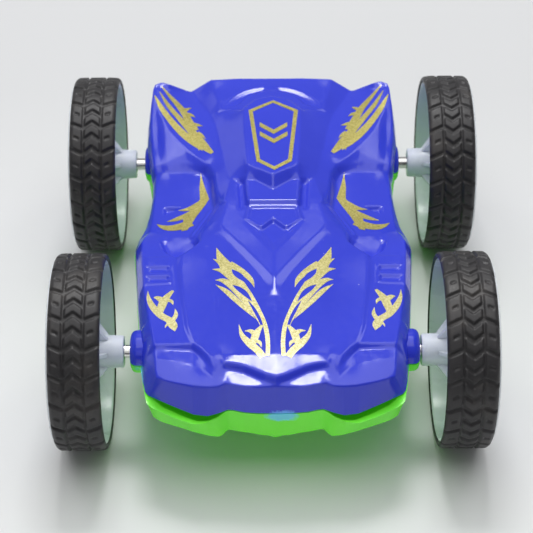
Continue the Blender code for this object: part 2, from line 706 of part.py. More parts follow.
# ------------------------------------------------------------------- assembly
shell("upper_shell", lower=False,
      mat=material("shell_blue", rgb=(0.075, 0.09, 0.62), roughness=0.22,
                   IOR=1.5))
shell("lower_shell", lower=True,
      mat=material("shell_green", rgb=(0.13, 0.70, 0.045), roughness=0.28,
                   IOR=1.5))
for end, end_word in ENDS:
    wheelset(end, end_word)
    for spec in IDLERS:
        idler(end, end_word, *spec)
flywheel()
for side, side_word in SIDES:
    gearbox_plate(side, side_word)
gearbox_screws()
shell_screws()

bpy.context.view_layer.update()
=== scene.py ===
# A toy car: a blue upper and a green lower body shell round a geared chassis, with gold
# printed flames and four treaded wheels. It stands on the floor z = 0 with its nose
# towards -Y and its tail towards +Y, symmetric about x = 0. Shapes are written in
# millimetres and scaled to metres by MM; materials, lights and camera are in metres.
# "Right" and "left" in the names of prints and lights are +X and -X, as seen from the front.

import math
from fnmatch import fnmatchcase

import bmesh
import bpy
import numpy as np
from mathutils import Matrix, Vector
from mathutils.bvhtree import BVHTree
from mathutils.geometry import delaunay_2d_cdt


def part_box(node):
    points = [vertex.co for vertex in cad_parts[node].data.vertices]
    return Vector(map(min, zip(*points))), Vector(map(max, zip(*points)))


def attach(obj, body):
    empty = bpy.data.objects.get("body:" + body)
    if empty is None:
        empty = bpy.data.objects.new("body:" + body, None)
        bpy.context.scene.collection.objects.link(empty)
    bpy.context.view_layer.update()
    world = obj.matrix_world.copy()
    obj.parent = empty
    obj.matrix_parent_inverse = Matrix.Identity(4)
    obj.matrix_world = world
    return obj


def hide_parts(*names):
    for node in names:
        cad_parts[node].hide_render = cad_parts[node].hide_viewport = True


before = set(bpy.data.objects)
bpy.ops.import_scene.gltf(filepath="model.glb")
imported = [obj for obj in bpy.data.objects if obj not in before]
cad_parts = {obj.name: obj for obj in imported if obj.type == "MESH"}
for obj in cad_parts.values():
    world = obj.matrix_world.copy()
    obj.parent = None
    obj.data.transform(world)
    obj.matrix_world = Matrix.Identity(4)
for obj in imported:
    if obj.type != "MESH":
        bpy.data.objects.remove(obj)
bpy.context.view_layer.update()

MM = 0.001
TYRE_R = 22.0
AXLE_Z = TYRE_R         # the wheels stand on the floor; the shells part at axle height
AXLES_Y = (-35.1, 35.1)
SPLIT = 0.15            # each shell's rim stops this far from the parting plane

# ---- Shell tables: one half (x >= 0) of the skin, shared by both shells ----

# Labelled points on the creases: (x, y, height from the parting plane)
SKIN_POINTS = {
    # top edge of the nose wall, centre to corner
    "a0": (0, -54.2, 7.5), "a1": (4.0, -54.45, 7.5), "a2": (6.8, -54.2, 7.5),
    "a3": (9.6, -53.5, 7.5), "a4": (10.7, -53.1, 7.4), "a5": (12.2, -53.75, 7.1),
    "a6": (14.5, -53.6, 6.9), "a7": (17.8, -52.8, 6.5), "a8": (21.2, -51.6, 6.1),
    "a9": (23.9, -50.5, 5.9), "a10": (25.6, -49.4, 5.7),
    # side edge, nose to tail
    "s1": (25.9, -47.8, 6.2), "s2": (26.0, -45.1, 6.95), "s3": (26.25, -42.15, 7.2),
    "s4": (26.35, -41.5, 7.95), "s5": (26.9, -38.0, 8.0), "s6": (27.6, -34.0, 8.0),
    "s7": (28.6, -28.4, 7.9), "s8": (29.6, -21.6, 7.9), "s9": (30.3, -13.6, 7.8),
    "s10": (30.7, -8.7, 7.6), "s11": (30.8, -5.0, 7.0), "s12": (30.3, -2.0, 6.0),
    "s13": (29.2, 1.2, 5.0), "s14": (28.9, 5.0, 5.1), "s15": (28.8, 10.0, 5.4),
    "s16": (28.6, 16.0, 5.6), "s17": (28.7, 22.2, 5.8), "s18": (29.4, 24.8, 7.0),
    "s19": (29.9, 29.0, 7.6), "s20": (30.4, 34.0, 8.8), "s21": (30.7, 40.0, 10.4),
    "s22": (30.6, 45.5, 12.0), "s23": (30.4, 49.6, 13.0),
    # tail edge, wing tip to centre
    "t0": (29.9, 51.4, 13.4), "t1": (28.3, 52.3, 13.5), "t2": (26.4, 52.0, 13.2),
    "t3": (21.8, 53.9, 9.7), "t4": (20.8, 54.1, 9.3), "t5": (17.2, 54.5, 11.6),
    "t6": (15.6, 54.8, 12.5), "t7": (8.0, 54.6, 13.0), "t8": (0, 54.4, 13.1),
    # bonnet lip, over the step and under it
    "l0": (0, -53.3, 9.3), "l1": (2.5, -52.4, 9.3), "l2": (4.6, -51.2, 9.3),
    "l3": (6.8, -50.0, 9.35), "l4": (9.0, -49.25, 9.4), "l5": (10.9, -48.9, 9.4),
    "m0": (0, -53.75, 7.9), "m1": (2.3, -52.95, 7.9), "m2": (4.4, -51.75, 7.9),
    "m3": (6.6, -50.5, 7.95), "m4": (8.8, -49.75, 8.0), "m5": (10.6, -49.45, 8.2),
    # bonnet centre line
    "hc1": (0, -50.0, 9.81), "hc2": (0, -45.0, 10.42), "hc3": (0, -40.0, 10.8),
    "hc4": (0, -34.5, 11.1),
    # crease where the bonnet starts to fall towards its lip
    "hd0": (0, -47.2, 10.25), "hd1": (5.5, -46.9, 9.92), "hd2": (9.0, -46.7, 9.80),
    # bonnet edge
    "h1": (11.5, -46.8, 9.55), "h2": (11.9, -43.1, 9.40), "h3": (12.3, -39.4, 9.42),
    "h4": (12.9, -33.0, 9.55), "h5": (13.6, -28.5, 9.65), "h6": (14.6, -21.5, 9.82),
    "h7": (15.3, -15.0, 9.98), "h8": (16.2, -10.6, 10.1),
    # shoulder, over its step and under it
    "k1": (14.4, -46.4, 9.05), "k2": (16.5, -43.5, 8.85), "k3": (17.9, -41.0, 9.00),
    "k4": (19.0, -37.1, 9.15), "k5": (19.8, -31.0, 9.20), "k6": (20.6, -25.1, 9.25),
    "k7": (21.2, -19.5, 9.25), "k8": (21.5, -15.2, 9.20), "k9": (21.2, -12.2, 9.2),
    "f1": (18.0, -42.3, 8.70), "f3": (18.9, -40.2, 8.70), "f4": (19.9, -36.4, 8.75),
    "f5": (20.7, -30.6, 8.80), "f6": (21.5, -24.7, 8.80), "f7": (22.1, -19.2, 8.80),
    "f8": (22.4, -15.2, 8.80),
    # headlight step and the facets below it
    "p1": (21.7, -42.0, 8.35), "p2": (25.0, -41.65, 8.1),
    "q1": (25.0, -42.3, 7.45), "q2": (21.8, -42.6, 7.55), "q3": (18.1, -42.95, 7.65),
    "q4": (16.9, -44.2, 7.6), "q5": (15.0, -46.9, 8.0),
    "r1": (23.6, -45.7, 7.2), "r2": (20.2, -46.5, 7.3), "r3": (17.5, -47.2, 7.35),
    "r4": (16.2, -48.1, 7.4),
    "j0": (14.0, -47.7, 8.75), "j1": (13.6, -49.6, 8.0), "j2": (12.9, -52.0, 7.5),
    # raised chevron over the bonnet: foot, upper edge, inner crest
    "vA0": (14.2, -2.1, 10.5), "vA1": (13.0, -6.1, 10.9), "vA2": (9.3, -12.2, 11.2),
    "vA3": (4.6, -20.0, 11.45), "vA4": (0.9, -27.9, 11.6), "vA5": (0, -29.6, 11.4),
    "vB0": (12.4, -3.6, 11.3), "vB1": (9.9, -8.0, 11.6), "vB2": (7.3, -12.2, 11.85),
    "vB3": (3.7, -18.0, 12.08), "vB4": (0.7, -23.0, 12.33), "vB5": (0, -24.2, 12.33),
    "vC0": (11.8, 4.6, 11.3), "vC1": (11.0, 3.8, 11.42), "vC2": (6.9, -3.6, 11.86),
    "vC3": (3.4, -10.3, 12.3), "vC4": (0, -15.7, 12.5),
    # windscreen plate and the valley in front of it
    "w0": (5.7, 1.7, 12.0), "w1": (6.1, -1.7, 11.9), "w2": (6.4, -2.7, 11.9),
    "w3": (2.9, -5.8, 11.9), "w4": (0, -2.6, 12.0), "w5": (0, -3.2, 11.35),
    "w6": (2.9, -6.5, 11.3), "vD0": (0, -11.0, 11.3),
    "w8": (0, 1.7, 12.05),
    # canopy
    "c0": (0, 2.1, 12.3), "c1": (5.8, 2.1, 12.3),
    "d0": (0, 2.6, 13.1), "d1": (5.9, 2.65, 13.1),
    "d2": (0, 6.8, 13.3), "d3": (4.4, 10.5, 13.4), "d4": (6.6, 10.8, 13.3),
    "e0": (0, 9.8, 15.6), "e1": (4.4, 12.8, 15.5), "e2": (6.1, 14.2, 15.4),
    "e2b": (6.7, 26.0, 15.4), "e3": (7.0, 37.6, 15.3), "e4": (3.9, 41.4, 15.5),
    "e5": (0, 43.0, 15.5),
    "g1": (6.7, 2.6, 11.3), "g4": (7.3, 11.0, 11.5),
    "rr1": (7.6, 1.4, 11.75), "rr4": (8.4, 11.6, 12.4),
    # cabin side foot
    "n0": (10.0, 12.7, 12.0), "n1": (11.6, 20.4, 11.8), "n2": (13.2, 29.2, 11.4),
    "n3": (14.3, 36.0, 11.0), "n4": (15.8, 41.5, 10.6), "n5": (19.0, 49.1, 9.8),
    # rear wing crest, tip to waist, and the wall down to the side pod
    "o9": (29.6, 47.6, 12.9), "o8": (28.2, 40.8, 11.8), "o7": (25.6, 34.3, 10.9),
    "o6": (21.6, 28.1, 10.4), "o5": (18.6, 23.8, 10.2), "o1": (15.6, 20.9, 10.1),
    "o2": (14.2, 17.4, 10.1), "o3": (13.3, 9.1, 10.1), "o4": (12.7, 5.0, 10.1),
    "oX": (17.0, -5.0, 9.2),
    "u1": (16.6, 19.8, 7.6), "u2": (15.4, 16.6, 7.6), "u3": (14.7, 9.0, 7.6),
    "u4": (14.3, 5.9, 7.7), "u5": (18.5, -3.6, 7.6),
    # front of the pod and the hollow behind the front fender
    "b1": (25.6, -1.8, 6.3), "b2": (22.1, -3.0, 7.0),
    "i6": (17.2, -8.3, 9.7), "i5": (19.2, -10.4, 9.4), "i4": (22.5, -12.7, 8.5),
    "i3": (25.5, -9.4, 7.8), "i2": (26.6, -5.8, 7.1), "i1": (27.2, -2.7, 6.4),
    "gi2": (25.7, -5.0, 5.9), "gi3": (24.6, -8.4, 5.7), "gi4": (22.4, -11.2, 5.9),
    "gi5": (19.9, -9.0, 6.3), "gi6": (18.3, -6.6, 6.9),
    # step at the rear of the pod
    "x2": (26.6, 24.6, 7.8), "x3": (22.8, 23.7, 8.5), "x4": (19.1, 22.4, 9.1),
    "y2": (27.0, 22.3, 6.6), "y3": (22.8, 21.7, 7.4), "y4": (19.0, 20.9, 7.9),
    # tail deck
    "ef5": (0, 43.9, 14.3), "ef4": (4.4, 42.3, 14.3), "ef3": (7.9, 38.3, 14.3),
    "dl1": (13.4, 41.2, 11.9), "dk3": (14.9, 50.6, 12.1), "dk2": (13.6, 45.0, 12.4),
    "dm": (0, 49.0, 13.5),
}
# Runs of points joined by creases; the first is the closed boundary of the half skin
CREASES = [
    "a0 a1 a2 a3 a4 a5 a6 a7 a8 a9 a10 s1 s2 s3 s4 s5 s6 s7 s8 s9 s10 s11 s12 "
    "s13 s14 s15 s16 s17 s18 s19 s20 s21 s22 s23 t0 t1 t2 t3 t4 t5 t6 t7 t8 dm "
    "ef5 e5 e0 d2 d0 c0 w8 w4 w5 vD0 vC4 vB5 vA5 hc4 hc3 hc2 hd0 hc1 l0 m0 a0",
    "l0 l1 l2 l3 l4 l5 h1 h2 h3 h4 h5 h6 h7 h8 i6",
    "hd0 hd1 hd2 h1", "m0 m1 m2 m3 m4 m5 a4", "m5 l5",
    "j0 k1 k2 k3 k4 k5 k6 k7 k8 k9 i4", "j0 j1 j2 a5", "k2 f1",
    "f1 f3 f4 f5 f6 f7 f8 i4", "f1 p1 p2 s4",
    "s3 q1 q2 q3 q4 q5 j1", "s2 r1 r2 r3 r4 j2", "q3 r3",
    "vA0 vA1 vA2 vA3 vA4 vA5", "vB0 vB1 vB2 vB3 vB4 vB5", "vA0 vB0 vC1",
    "vC0 vC1 vC2 vC3 vC4", "w2 vC2", "w8 w0 w1 w2 w3 w4", "w5 w6 w2",
    "w6 vD0", "c0 c1 w0", "c1 g1", "d0 d1 d4 d3 d2", "e0 e1 e2 e2b e3 e4 e5",
    "d4 e2", "g1 g4", "rr1 rr4 n0", "rr1 w1", "n0 n1 n2 n3 n4 n5 t4",
    "s23 o9 o8 o7 o6 o5 o1 o2 o3 o4 oX i6", "u1 u2 u3 u4 u5 b2 b1 s13",
    "i6 i5 k9", "i4 i3 i2 i1", "gi2 gi3 gi4 gi5 gi6", "vC0 n0", "vC0 o4",
    "s18 x2 x3 x4 o1", "s17 y2 y3 y4 u1", "ef5 ef4 ef3", "dl1 dk2 dk3 t6",
    "dl1 n4",
]
BOUNDARY = CREASES[0].split()
TOP_EDGE = BOUNDARY[:BOUNDARY.index("t8") + 1]
# Outline at the parting plane: (x, y) below each point of TOP_EDGE
PARTING_OUTLINE = [
    # nose, a0 to a10
    (0, -55.0), (4.0, -54.9), (6.8, -54.6), (9.2, -53.9), (10.3, -53.8), (12.4, -54.9),
    (14.6, -55.7), (17.6, -55.2), (21.7, -52.9), (25.0, -50.9), (27.6, -49.3),
    # side, s1 to s23
    (28.3, -48.2), (28.9, -45.3), (29.3, -42.2), (29.4, -41.5), (29.8, -38.0),
    (30.1, -34.0), (30.6, -28.4), (31.2, -21.6), (31.8, -13.6), (32.2, -8.7),
    (32.6, -5.0), (32.9, -1.8), (32.5, 2.4), (30.8, 5.9), (29.6, 10.0), (28.9, 16.0),
    (28.95, 22.0), (29.5, 24.8), (30.2, 29.0), (31.0, 34.0), (31.2, 40.0), (31.0, 45.5),
    (30.8, 49.8),
    # tail, t0 to t8
    (30.3, 52.0), (28.9, 53.2), (26.6, 53.6), (22.0, 54.8), (20.8, 55.1), (17.4, 55.5),
    (15.6, 55.7), (8.0, 55.6), (0, 55.4),
]
# The lower shell is a little wider: (x, y) shift of its parting outline
LOWER_SHIFT = {
    "a5": (0.35, -1.0), "a6": (0.35, -1.35), "a7": (0.35, -1.7), "a8": (0.1, -2.2),
    "a9": (0.1, -2.1), "a10": (0.35, -2.0), "s1": (0.0, -1.1), "s2": (0.0, -0.6),
}
LOWER_SIDE_SHIFT = 0.15      # x shift of the other side points

CELL = 0.32                  # nominal cell of the fine skin
STRIDE = 3                   # the inner skin takes every third row and column
COLUMNS = STRIDE * int(10.34 / CELL)
ROWS = STRIDE * int(36.2 / CELL)
RELAX_PASSES = 500


# ---- Plane geometry ----

def segment_distance(x, y, start, end):
    dx, dy = end[0] - start[0], end[1] - start[1]
    t = ((x - start[0]) * dx + (y - start[1]) * dy) / (dx * dx + dy * dy)
    t = np.clip(t, 0, 1)
    return np.hypot(x - start[0] - t * dx, y - start[1] - t * dy)


def line_distance(x, y, points):
    best = np.full(x.shape, 1e9)
    for start, end in zip(points, points[1:]):
        best = np.minimum(best, segment_distance(x, y, start, end))
    return best


def convex_distance(x, y, points):
    """Signed distance (roughly) to a convex outline given anticlockwise."""
    best = np.full(x.shape, -1e9)
    for start, end in zip(points, points[1:] + points[:1]):
        dx, dy = end[0] - start[0], end[1] - start[1]
        best = np.maximum(best, ((x - start[0]) * dy - (y - start[1]) * dx)
                          / math.hypot(dx, dy))
    return best


def smoothstep(low, high, value):
    t = np.clip((value - low) / (high - low), 0, 1)
    return t * t * (3 - 2 * t)


def path_lengths(points):
    """Distance run along a path at each of its points."""
    return np.concatenate([[0], np.cumsum([math.dist(a, b)
                                           for a, b in zip(points, points[1:])])])


# ---- Small relief on the creased skin ----

VENT_PAD = [(29.3, -21.9), (29.8, -11.5), (23.7, -11.9), (23.2, -22.2)]
VENT_SLOTS = ([(28.3, -17.3), (29.3, -15.3), (24.0, -16.0), (23.8, -17.9)],
              [(28.3, -20.7), (29.2, -18.8), (23.9, -19.4), (23.7, -21.2)])
RAIL = [(14.4, 5.4), (18.6, -3.7)]
RIB_OFFSET = 0.55            # ribs lie this far to each side of the rail
PLATE_EDGE = [(0, -2.6), (2.9, -5.8), (6.4, -2.7), (6.0, -1.7), (5.7, 1.6), (0, 1.6)]
CANOPY_FOOT = [(8.2, 11.3), (7.5, 1.6)]
CABIN_SEAM = [(6.6, 39.0), (13.3, 41.0)]
POD_SCOOP = [(26.0, 6.9), (26.1, 9.4), (21.9, 8.5)]
GROOVE_FADE = 0.3


def raised(z, distance, height, start, end):
    """Lift z by height up to distance start, fading to nothing at end."""
    return z + height * (1 - smoothstep(start, end, distance))


def groove(z, distance, width, depth):
    return raised(z, distance, -depth, start=width / 2 - GROOVE_FADE / 2,
                  end=width / 2 + GROOVE_FADE)


def add_relief(x, y, z):
    # pad on the front fender with two slanted slots
    z = raised(z, convex_distance(x, y, VENT_PAD), height=0.20, start=-0.35, end=0.10)
    for slot in VENT_SLOTS:
        z = raised(z, convex_distance(x, y, slot), height=-0.55, start=-0.30, end=0.08)
    # a pair of fine ribs between the pod and the bonnet shoulder
    ribs = np.abs(line_distance(x, y, RAIL) - RIB_OFFSET)
    z = raised(z, ribs, height=0.42, start=0.14, end=0.50)
    # fine lip round the windscreen plate
    z = raised(z, line_distance(x, y, PLATE_EDGE), height=0.42, start=0.10, end=0.46)
    z = groove(z, line_distance(x, y, CANOPY_FOOT), width=0.55, depth=0.5)
    z = groove(z, line_distance(x, y, CABIN_SEAM), width=0.3, depth=0.25)
    # crescent recess in the tail deck, between two ellipses
    outer = np.hypot(x / 12.6, (y - 40.0) / 10.0)
    inner = np.hypot(x / 8.6, (y - 39.0) / 9.2)
    crescent = (1 - smoothstep(0.84, 1.03, outer)) * smoothstep(0.98, 1.06, inner)
    z = z - 0.7 * crescent * smoothstep(41.5, 43.0, y) * (
        0.35 + 0.65 * smoothstep(0.6, 2.6, x))
    return raised(z, convex_distance(x, y, POD_SCOOP), height=-0.8, start=-0.30, end=0.10)


# ---- Half skin as a fine grid ----

def crease_surface():
    """The half skin as triangles between the creases."""
    names = list(SKIN_POINTS)
    plan = [Vector(SKIN_POINTS[name][:2]) for name in names]
    index = {name: i for i, name in enumerate(names)}
    edges = set()
    for crease in CREASES:
        run = crease.split()
        for start, end in zip(run, run[1:]):
            edges.add((index[start], index[end]))
    result = delaunay_2d_cdt(plan, list(edges), [], 0, 1e-6)
    points = []
    for flat, sources in zip(result[0], result[3]):
        if not sources:
            raise ValueError("creases cross near %.2f %.2f" % (flat.x, flat.y))
        points.append(Vector((flat.x, flat.y, SKIN_POINTS[names[sources[0]]][2])))
    segments = [(plan[start], plan[end]) for start, end in sorted(edges)]
    return BVHTree.FromPolygons(points, result[2]), segments


def grid_plan():
    """x and y of the grid: rows from nose to tail, columns from centre to side."""
    nose = [SKIN_POINTS["a%d" % i] for i in range(11)]
    tail = [SKIN_POINTS["t%d" % i] for i in range(8, -1, -1)]
    side = [SKIN_POINTS[name] for name in TOP_EDGE[10:35]]
    across = np.linspace(0, 1, COLUMNS + 1)
    nose_y, tail_y = [np.interp(across, [p[0] / edge[-1][0] for p in edge],
                                [p[1] for p in edge]) for edge in (nose, tail)]
    back = np.linspace(0, 1, ROWS + 1)[:, None]
    y = (1 - back) * nose_y[None, :] + back * tail_y[None, :]
    side_x = np.interp(y[:, -1], [p[1] for p in side], [p[0] for p in side])
    return side_x[:, None] * across[None, :], y


def drop_on(tree, x, y):
    """Height of the creased surface under each grid point."""
    z = np.zeros_like(x)
    down = Vector((0, 0, -1))
    for i in range(x.shape[0]):
        for j in range(x.shape[1]):
            inside_x = min(max(x[i, j], 1e-4), x[i, -1] - 1e-4)
            hit = None
            # rays on the outline can miss, so step a little either way
            for nudge in (0.0, 1e-3, -1e-3, 0.02, -0.02, 0.08, -0.08):
                hit = tree.ray_cast(Vector((inside_x, y[i, j] + nudge, 50)), down)[0]
                if hit is not None:
                    break
            z[i, j] = hit.z if hit is not None else np.nan
    missing = np.isnan(z)
    while missing.any():     # fill gaps from their neighbours
        fill = np.roll(z, 1, 0)
        fill = np.where(np.isnan(fill), np.roll(z, -1, 0), fill)
        fill = np.where(np.isnan(fill), np.roll(z, 1, 1), fill)
        z = np.where(missing, fill, z)
        missing = np.isnan(z)
    return z


def crease_distance(x, y, segments):
    """Distance to the nearest crease, for grid points close to one."""
    nearest = np.full(x.shape, 1e9)
    for start, end in segments:
        low = (min(start.x, end.x) - 1, min(start.y, end.y) - 1)
        high = (max(start.x, end.x) + 1, max(start.y, end.y) + 1)
        near = np.where((x > low[0]) & (x < high[0]) & (y > low[1]) & (y < high[1]))
        if len(near[0]):
            distance = segment_distance(x[near], y[near], start, end)
            nearest[near] = np.minimum(nearest[near], distance)
    return nearest


def skin_grid():
    """Fine half skin as arrays x, y, z."""
    tree, segments = crease_surface()
    x, y = grid_plan()
    z = drop_on(tree, x, y)
    # relax the skin between creases into smooth patches
    free = crease_distance(x, y, segments) > CELL * 0.75
    free[:, 0] = False
    for _ in range(RELAX_PASSES):
        mean = z.copy()
        mean[1:-1, 1:-1] = (z[:-2, 1:-1] + z[2:, 1:-1] + z[1:-1, :-2] + z[1:-1, 2:]) / 4
        z = np.where(free, mean, z)
    z = add_relief(x, y, z)
    # moulding radius on every crease; the padding mirrors the centre line
    pad = np.pad(z, 1, mode="edge")
    pad[:, 0] = pad[:, 2]
    mean = (pad[:-2, 1:-1] + pad[2:, 1:-1] + pad[1:-1, :-2] + pad[1:-1, 2:]) / 4
    return x, y, 0.5 * z + 0.5 * mean


# ---- Body shells ----

WALL = 1.5
HALF_WIDTH, HALF_LENGTH = 30.0, 55.0
INNER_DROP = 1.15            # inner skin below the lowest skin near it
WALL_ROWS, INNER_WALL_ROWS = 15, 3
BELLY = 0.7                  # how far the side walls bulge
AXLE_NOTCH_R = 2.3           # the side walls clear the axle

SCREWS = ((21.0, -23.0), (21.0, 27.0))
WELL_R, WELL_FLOOR = 2.35, 4.7
WELL_PULL = 0.9              # band on both sides of the rim whose points are drawn in
WELL_EDGE, WELL_EDGE_DIP = 0.35, 0.22
WELL_KEEP_R = 3.4            # no smoothing within this radius

BOSS_ARC_STEPS = 36
BORE_R = 1.9
# Bearing section: (x, radius)
BOSS_PROFILE = [
    (25.6, 4.8), (30.4, 4.8), (31.0, 4.72), (31.5, 4.50), (31.85, 4.12), (32.05, 3.65),
    (32.17, 3.1), (32.2, 2.6), (32.2, BORE_R + 0.25), (32.05, BORE_R), (25.6, BORE_R)]


def lower_skin(x, y, z):
    """Half skin of the lower shell: its nose runs further forward at the sides and is
    shallower in the middle, and the grid is drawn onto the rims of the screw wells."""
    front = 1 - smoothstep(-51.5, -44.0, y)
    y = y - 1.2 * front * smoothstep(9.8, 11.6, x)
    corner = smoothstep(18.5, 25.0, x) * (1 - smoothstep(-48.5, -44.0, y))
    x = x + 1.1 * corner
    y = y - 0.5 * corner
    z = z - 0.8 * corner
    z = z * (1 - 0.13 * front * (1 - smoothstep(10.2, 12.6, x)) * smoothstep(1.0, 6.5, x))
    for well_x, well_y in SCREWS:
        radius = np.hypot(x - well_x, y - well_y)
        off = radius - WELL_R
        pulled = np.where(np.abs(off) < WELL_PULL,
                          off * (np.abs(off) / WELL_PULL) ** 0.7, off)
        scale = np.where(radius > 1e-6, (WELL_R + pulled) / np.maximum(radius, 1e-6), 1.0)
        x, y = well_x + (x - well_x) * scale, well_y + (y - well_y) * scale
        radius = np.hypot(x - well_x, y - well_y)
        z = np.where(radius < WELL_R, WELL_FLOOR, z)
        edge = (radius >= WELL_R) & (radius < WELL_R + WELL_EDGE)
        z = np.where(edge, z - WELL_EDGE_DIP * (1 - (radius - WELL_R) / WELL_EDGE), z)
    return x, y, z


def parting_outline(edge, lower):
    """x and y at the parting plane under each point of the top edge."""
    top_at = path_lengths([SKIN_POINTS[name][:2] for name in TOP_EDGE])
    edge_at = path_lengths(edge)
    edge_at = edge_at * top_at[-1] / edge_at[-1]
    outline = PARTING_OUTLINE
    if lower:
        shifts = [LOWER_SHIFT.get(name, (LOWER_SIDE_SHIFT if name[0] == "s" else 0.0, 0.0))
                  for name in TOP_EDGE]
        outline = [(x + dx, y + dy) for (x, y), (dx, dy) in zip(outline, shifts)]
    return [np.interp(edge_at, top_at, values) for values in zip(*outline)]


def grid_quads(first, rows, columns):
    for i in range(rows - 1):
        for j in range(columns - 1):
            k = first + i * columns + j
            yield k, k + 1, k + columns + 1, k + columns


def add_row(verts, faces, previous, points, inward=False):
    """Join a new row of points to the previous one; returns its indices."""
    current = list(range(len(verts), len(verts) + len(points)))
    verts.extend(points)
    for k in range(len(points) - 1):
        quad = (previous[k], current[k], current[k + 1], previous[k + 1])
        faces.append((quad[0],) + quad[:0:-1] if inward else quad)
    return current


def add_boss(verts, faces, axle_y):
    """Half of an axle bearing, above the parting plane, on the +X side."""
    first = len(verts)
    for x, radius in BOSS_PROFILE:
        start = math.asin(SPLIT / radius)
        for k in range(BOSS_ARC_STEPS + 1):
            angle = start + (math.pi - 2 * start) * k / BOSS_ARC_STEPS
            verts.append((x, axle_y + radius * math.cos(angle), radius * math.sin(angle)))
    arc = BOSS_ARC_STEPS + 1
    count = len(BOSS_PROFILE)
    for i in range(count):
        for k in range(BOSS_ARC_STEPS):
            here = first + i * arc + k
            there = first + (i + 1) % count * arc + k
            faces.append((here, here + 1, there + 1, there))
    faces.append(tuple(first + i * arc for i in range(count)))
    faces.append(tuple(first + i * arc + BOSS_ARC_STEPS for i in reversed(range(count))))


def rim_height_and_wall(ring, base_x, base_y, shape, lower):
    """Height of the shell's rim and thickness of its wall, round the ring."""
    base_z = np.full(len(ring), SPLIT)
    wall = np.full(len(ring), WALL)
    for n, (i, j) in enumerate(ring):
        if lower and i == 0:     # the lower nose is a thin lip clear of the upper shell
            lip = float(smoothstep(10.5, 13.5, base_x[n])
                        * (1 - smoothstep(26.5, 28.4, base_x[n])))
            wall[n] = WALL - 0.75 * lip
            base_z[n] += (0.3 + 0.5 * float(smoothstep(13.5, 18.0, base_x[n]))) * lip
        if j == shape[1] - 1 and 0 < i < shape[0] - 1:
            for axle_y in AXLES_Y:
                notch = AXLE_NOTCH_R ** 2 - (base_y[n] - axle_y) ** 2
                base_z[n] = max(base_z[n], math.sqrt(max(0, notch)))
    return base_z, wall


def half_shell(grid, lower):
    """Vertices and faces for x >= 0, with the outer vertex count and the rim indices."""
    x, y, z = lower_skin(*grid) if lower else grid
    rows, columns = x.shape
    verts = np.stack([x, y, z], -1).reshape(-1, 3).tolist()
    faces = list(grid_quads(0, rows, columns))
    ring = ([(0, j) for j in range(columns)] + [(i, columns - 1) for i in range(1, rows)]
            + [(rows - 1, j) for j in range(columns - 2, -1, -1)])
    at = tuple(np.array(ring).T)
    edge_x, edge_y, edge_z = x[at], y[at], z[at]
    base_x, base_y = parting_outline(list(zip(edge_x, edge_y)), lower)
    base_z, wall = rim_height_and_wall(ring, base_x, base_y, x.shape, lower)
    belly = np.where(at[1] == columns - 1,
                     BELLY * (smoothstep(-48.5, -43.0, edge_y)
                              * (1 - smoothstep(44.0, 49.5, edge_y))), 0.0)
    rim = [i * columns + j for i, j in ring]
    for row in range(1, WALL_ROWS + 1):
        u = row / WALL_ROWS
        points = np.stack([edge_x * (1 - u) + base_x * u + belly * math.sin(math.pi * u),
                           edge_y * (1 - u) + base_y * u,
                           edge_z * (1 - u) + base_z * u], -1)
        rim = add_row(verts, faces, rim, points.tolist())
    outer_count = len(verts)

    # inner skin: coarser, and kept below the lowest skin near it
    low = z.copy()
    for _ in range(4):
        pad = np.pad(low, 1, mode="edge")
        low = np.min([pad[1:-1, 1:-1], pad[:-2, 1:-1], pad[2:, 1:-1], pad[1:-1, :-2],
                      pad[1:-1, 2:]], axis=0)
    low = low - INNER_DROP
    scale_x, scale_y = 1 - WALL / HALF_WIDTH, 1 - WALL / HALF_LENGTH
    skin = np.stack([grid[0] * scale_x, grid[1] * scale_y, low], -1)
    coarse = skin[::STRIDE, ::STRIDE]
    first = len(verts)
    verts.extend(coarse.reshape(-1, 3).tolist())
    faces.extend((a, d, c, b) for a, b, c, d in grid_quads(first, *coarse.shape[:2]))
    picks = [n for n, (i, j) in enumerate(ring) if i % STRIDE == 0 and j % STRIDE == 0]
    previous = [first + ring[n][0] // STRIDE * coarse.shape[1] + ring[n][1] // STRIDE
                for n in picks]
    top_x, top_y, top_z = skin[at][picks].T
    for row in range(1, INNER_WALL_ROWS + 1):
        u = row / INNER_WALL_ROWS
        points = np.stack([
            top_x * (1 - u) + base_x[picks] * scale_x * u,
            top_y * (1 - u) + base_y[picks] * (1 - wall[picks] / HALF_LENGTH) * u,
            top_z * (1 - u) + base_z[picks] * u], -1)
        previous = add_row(verts, faces, previous, points.tolist(), inward=True)
    # close the rim between the inner and outer walls
    for k in range(len(picks) - 1):
        span = rim[picks[k]:picks[k + 1] + 1]
        faces.append((previous[k], previous[k + 1]) + tuple(span[::-1]))
    for axle_y in AXLES_Y:
        add_boss(verts, faces, axle_y)
    return verts, faces, outer_count, rim


def new_mesh(name, verts, faces, recalc=False):
    mesh = bpy.data.meshes.new(name)
    mesh.from_pydata(verts, [], faces)
    mesh.update()
    if recalc:
        bm = bmesh.new()
        bm.from_mesh(mesh)
        bmesh.ops.recalc_face_normals(bm, faces=bm.faces)
        bm.to_mesh(mesh)
        bm.free()
    return mesh


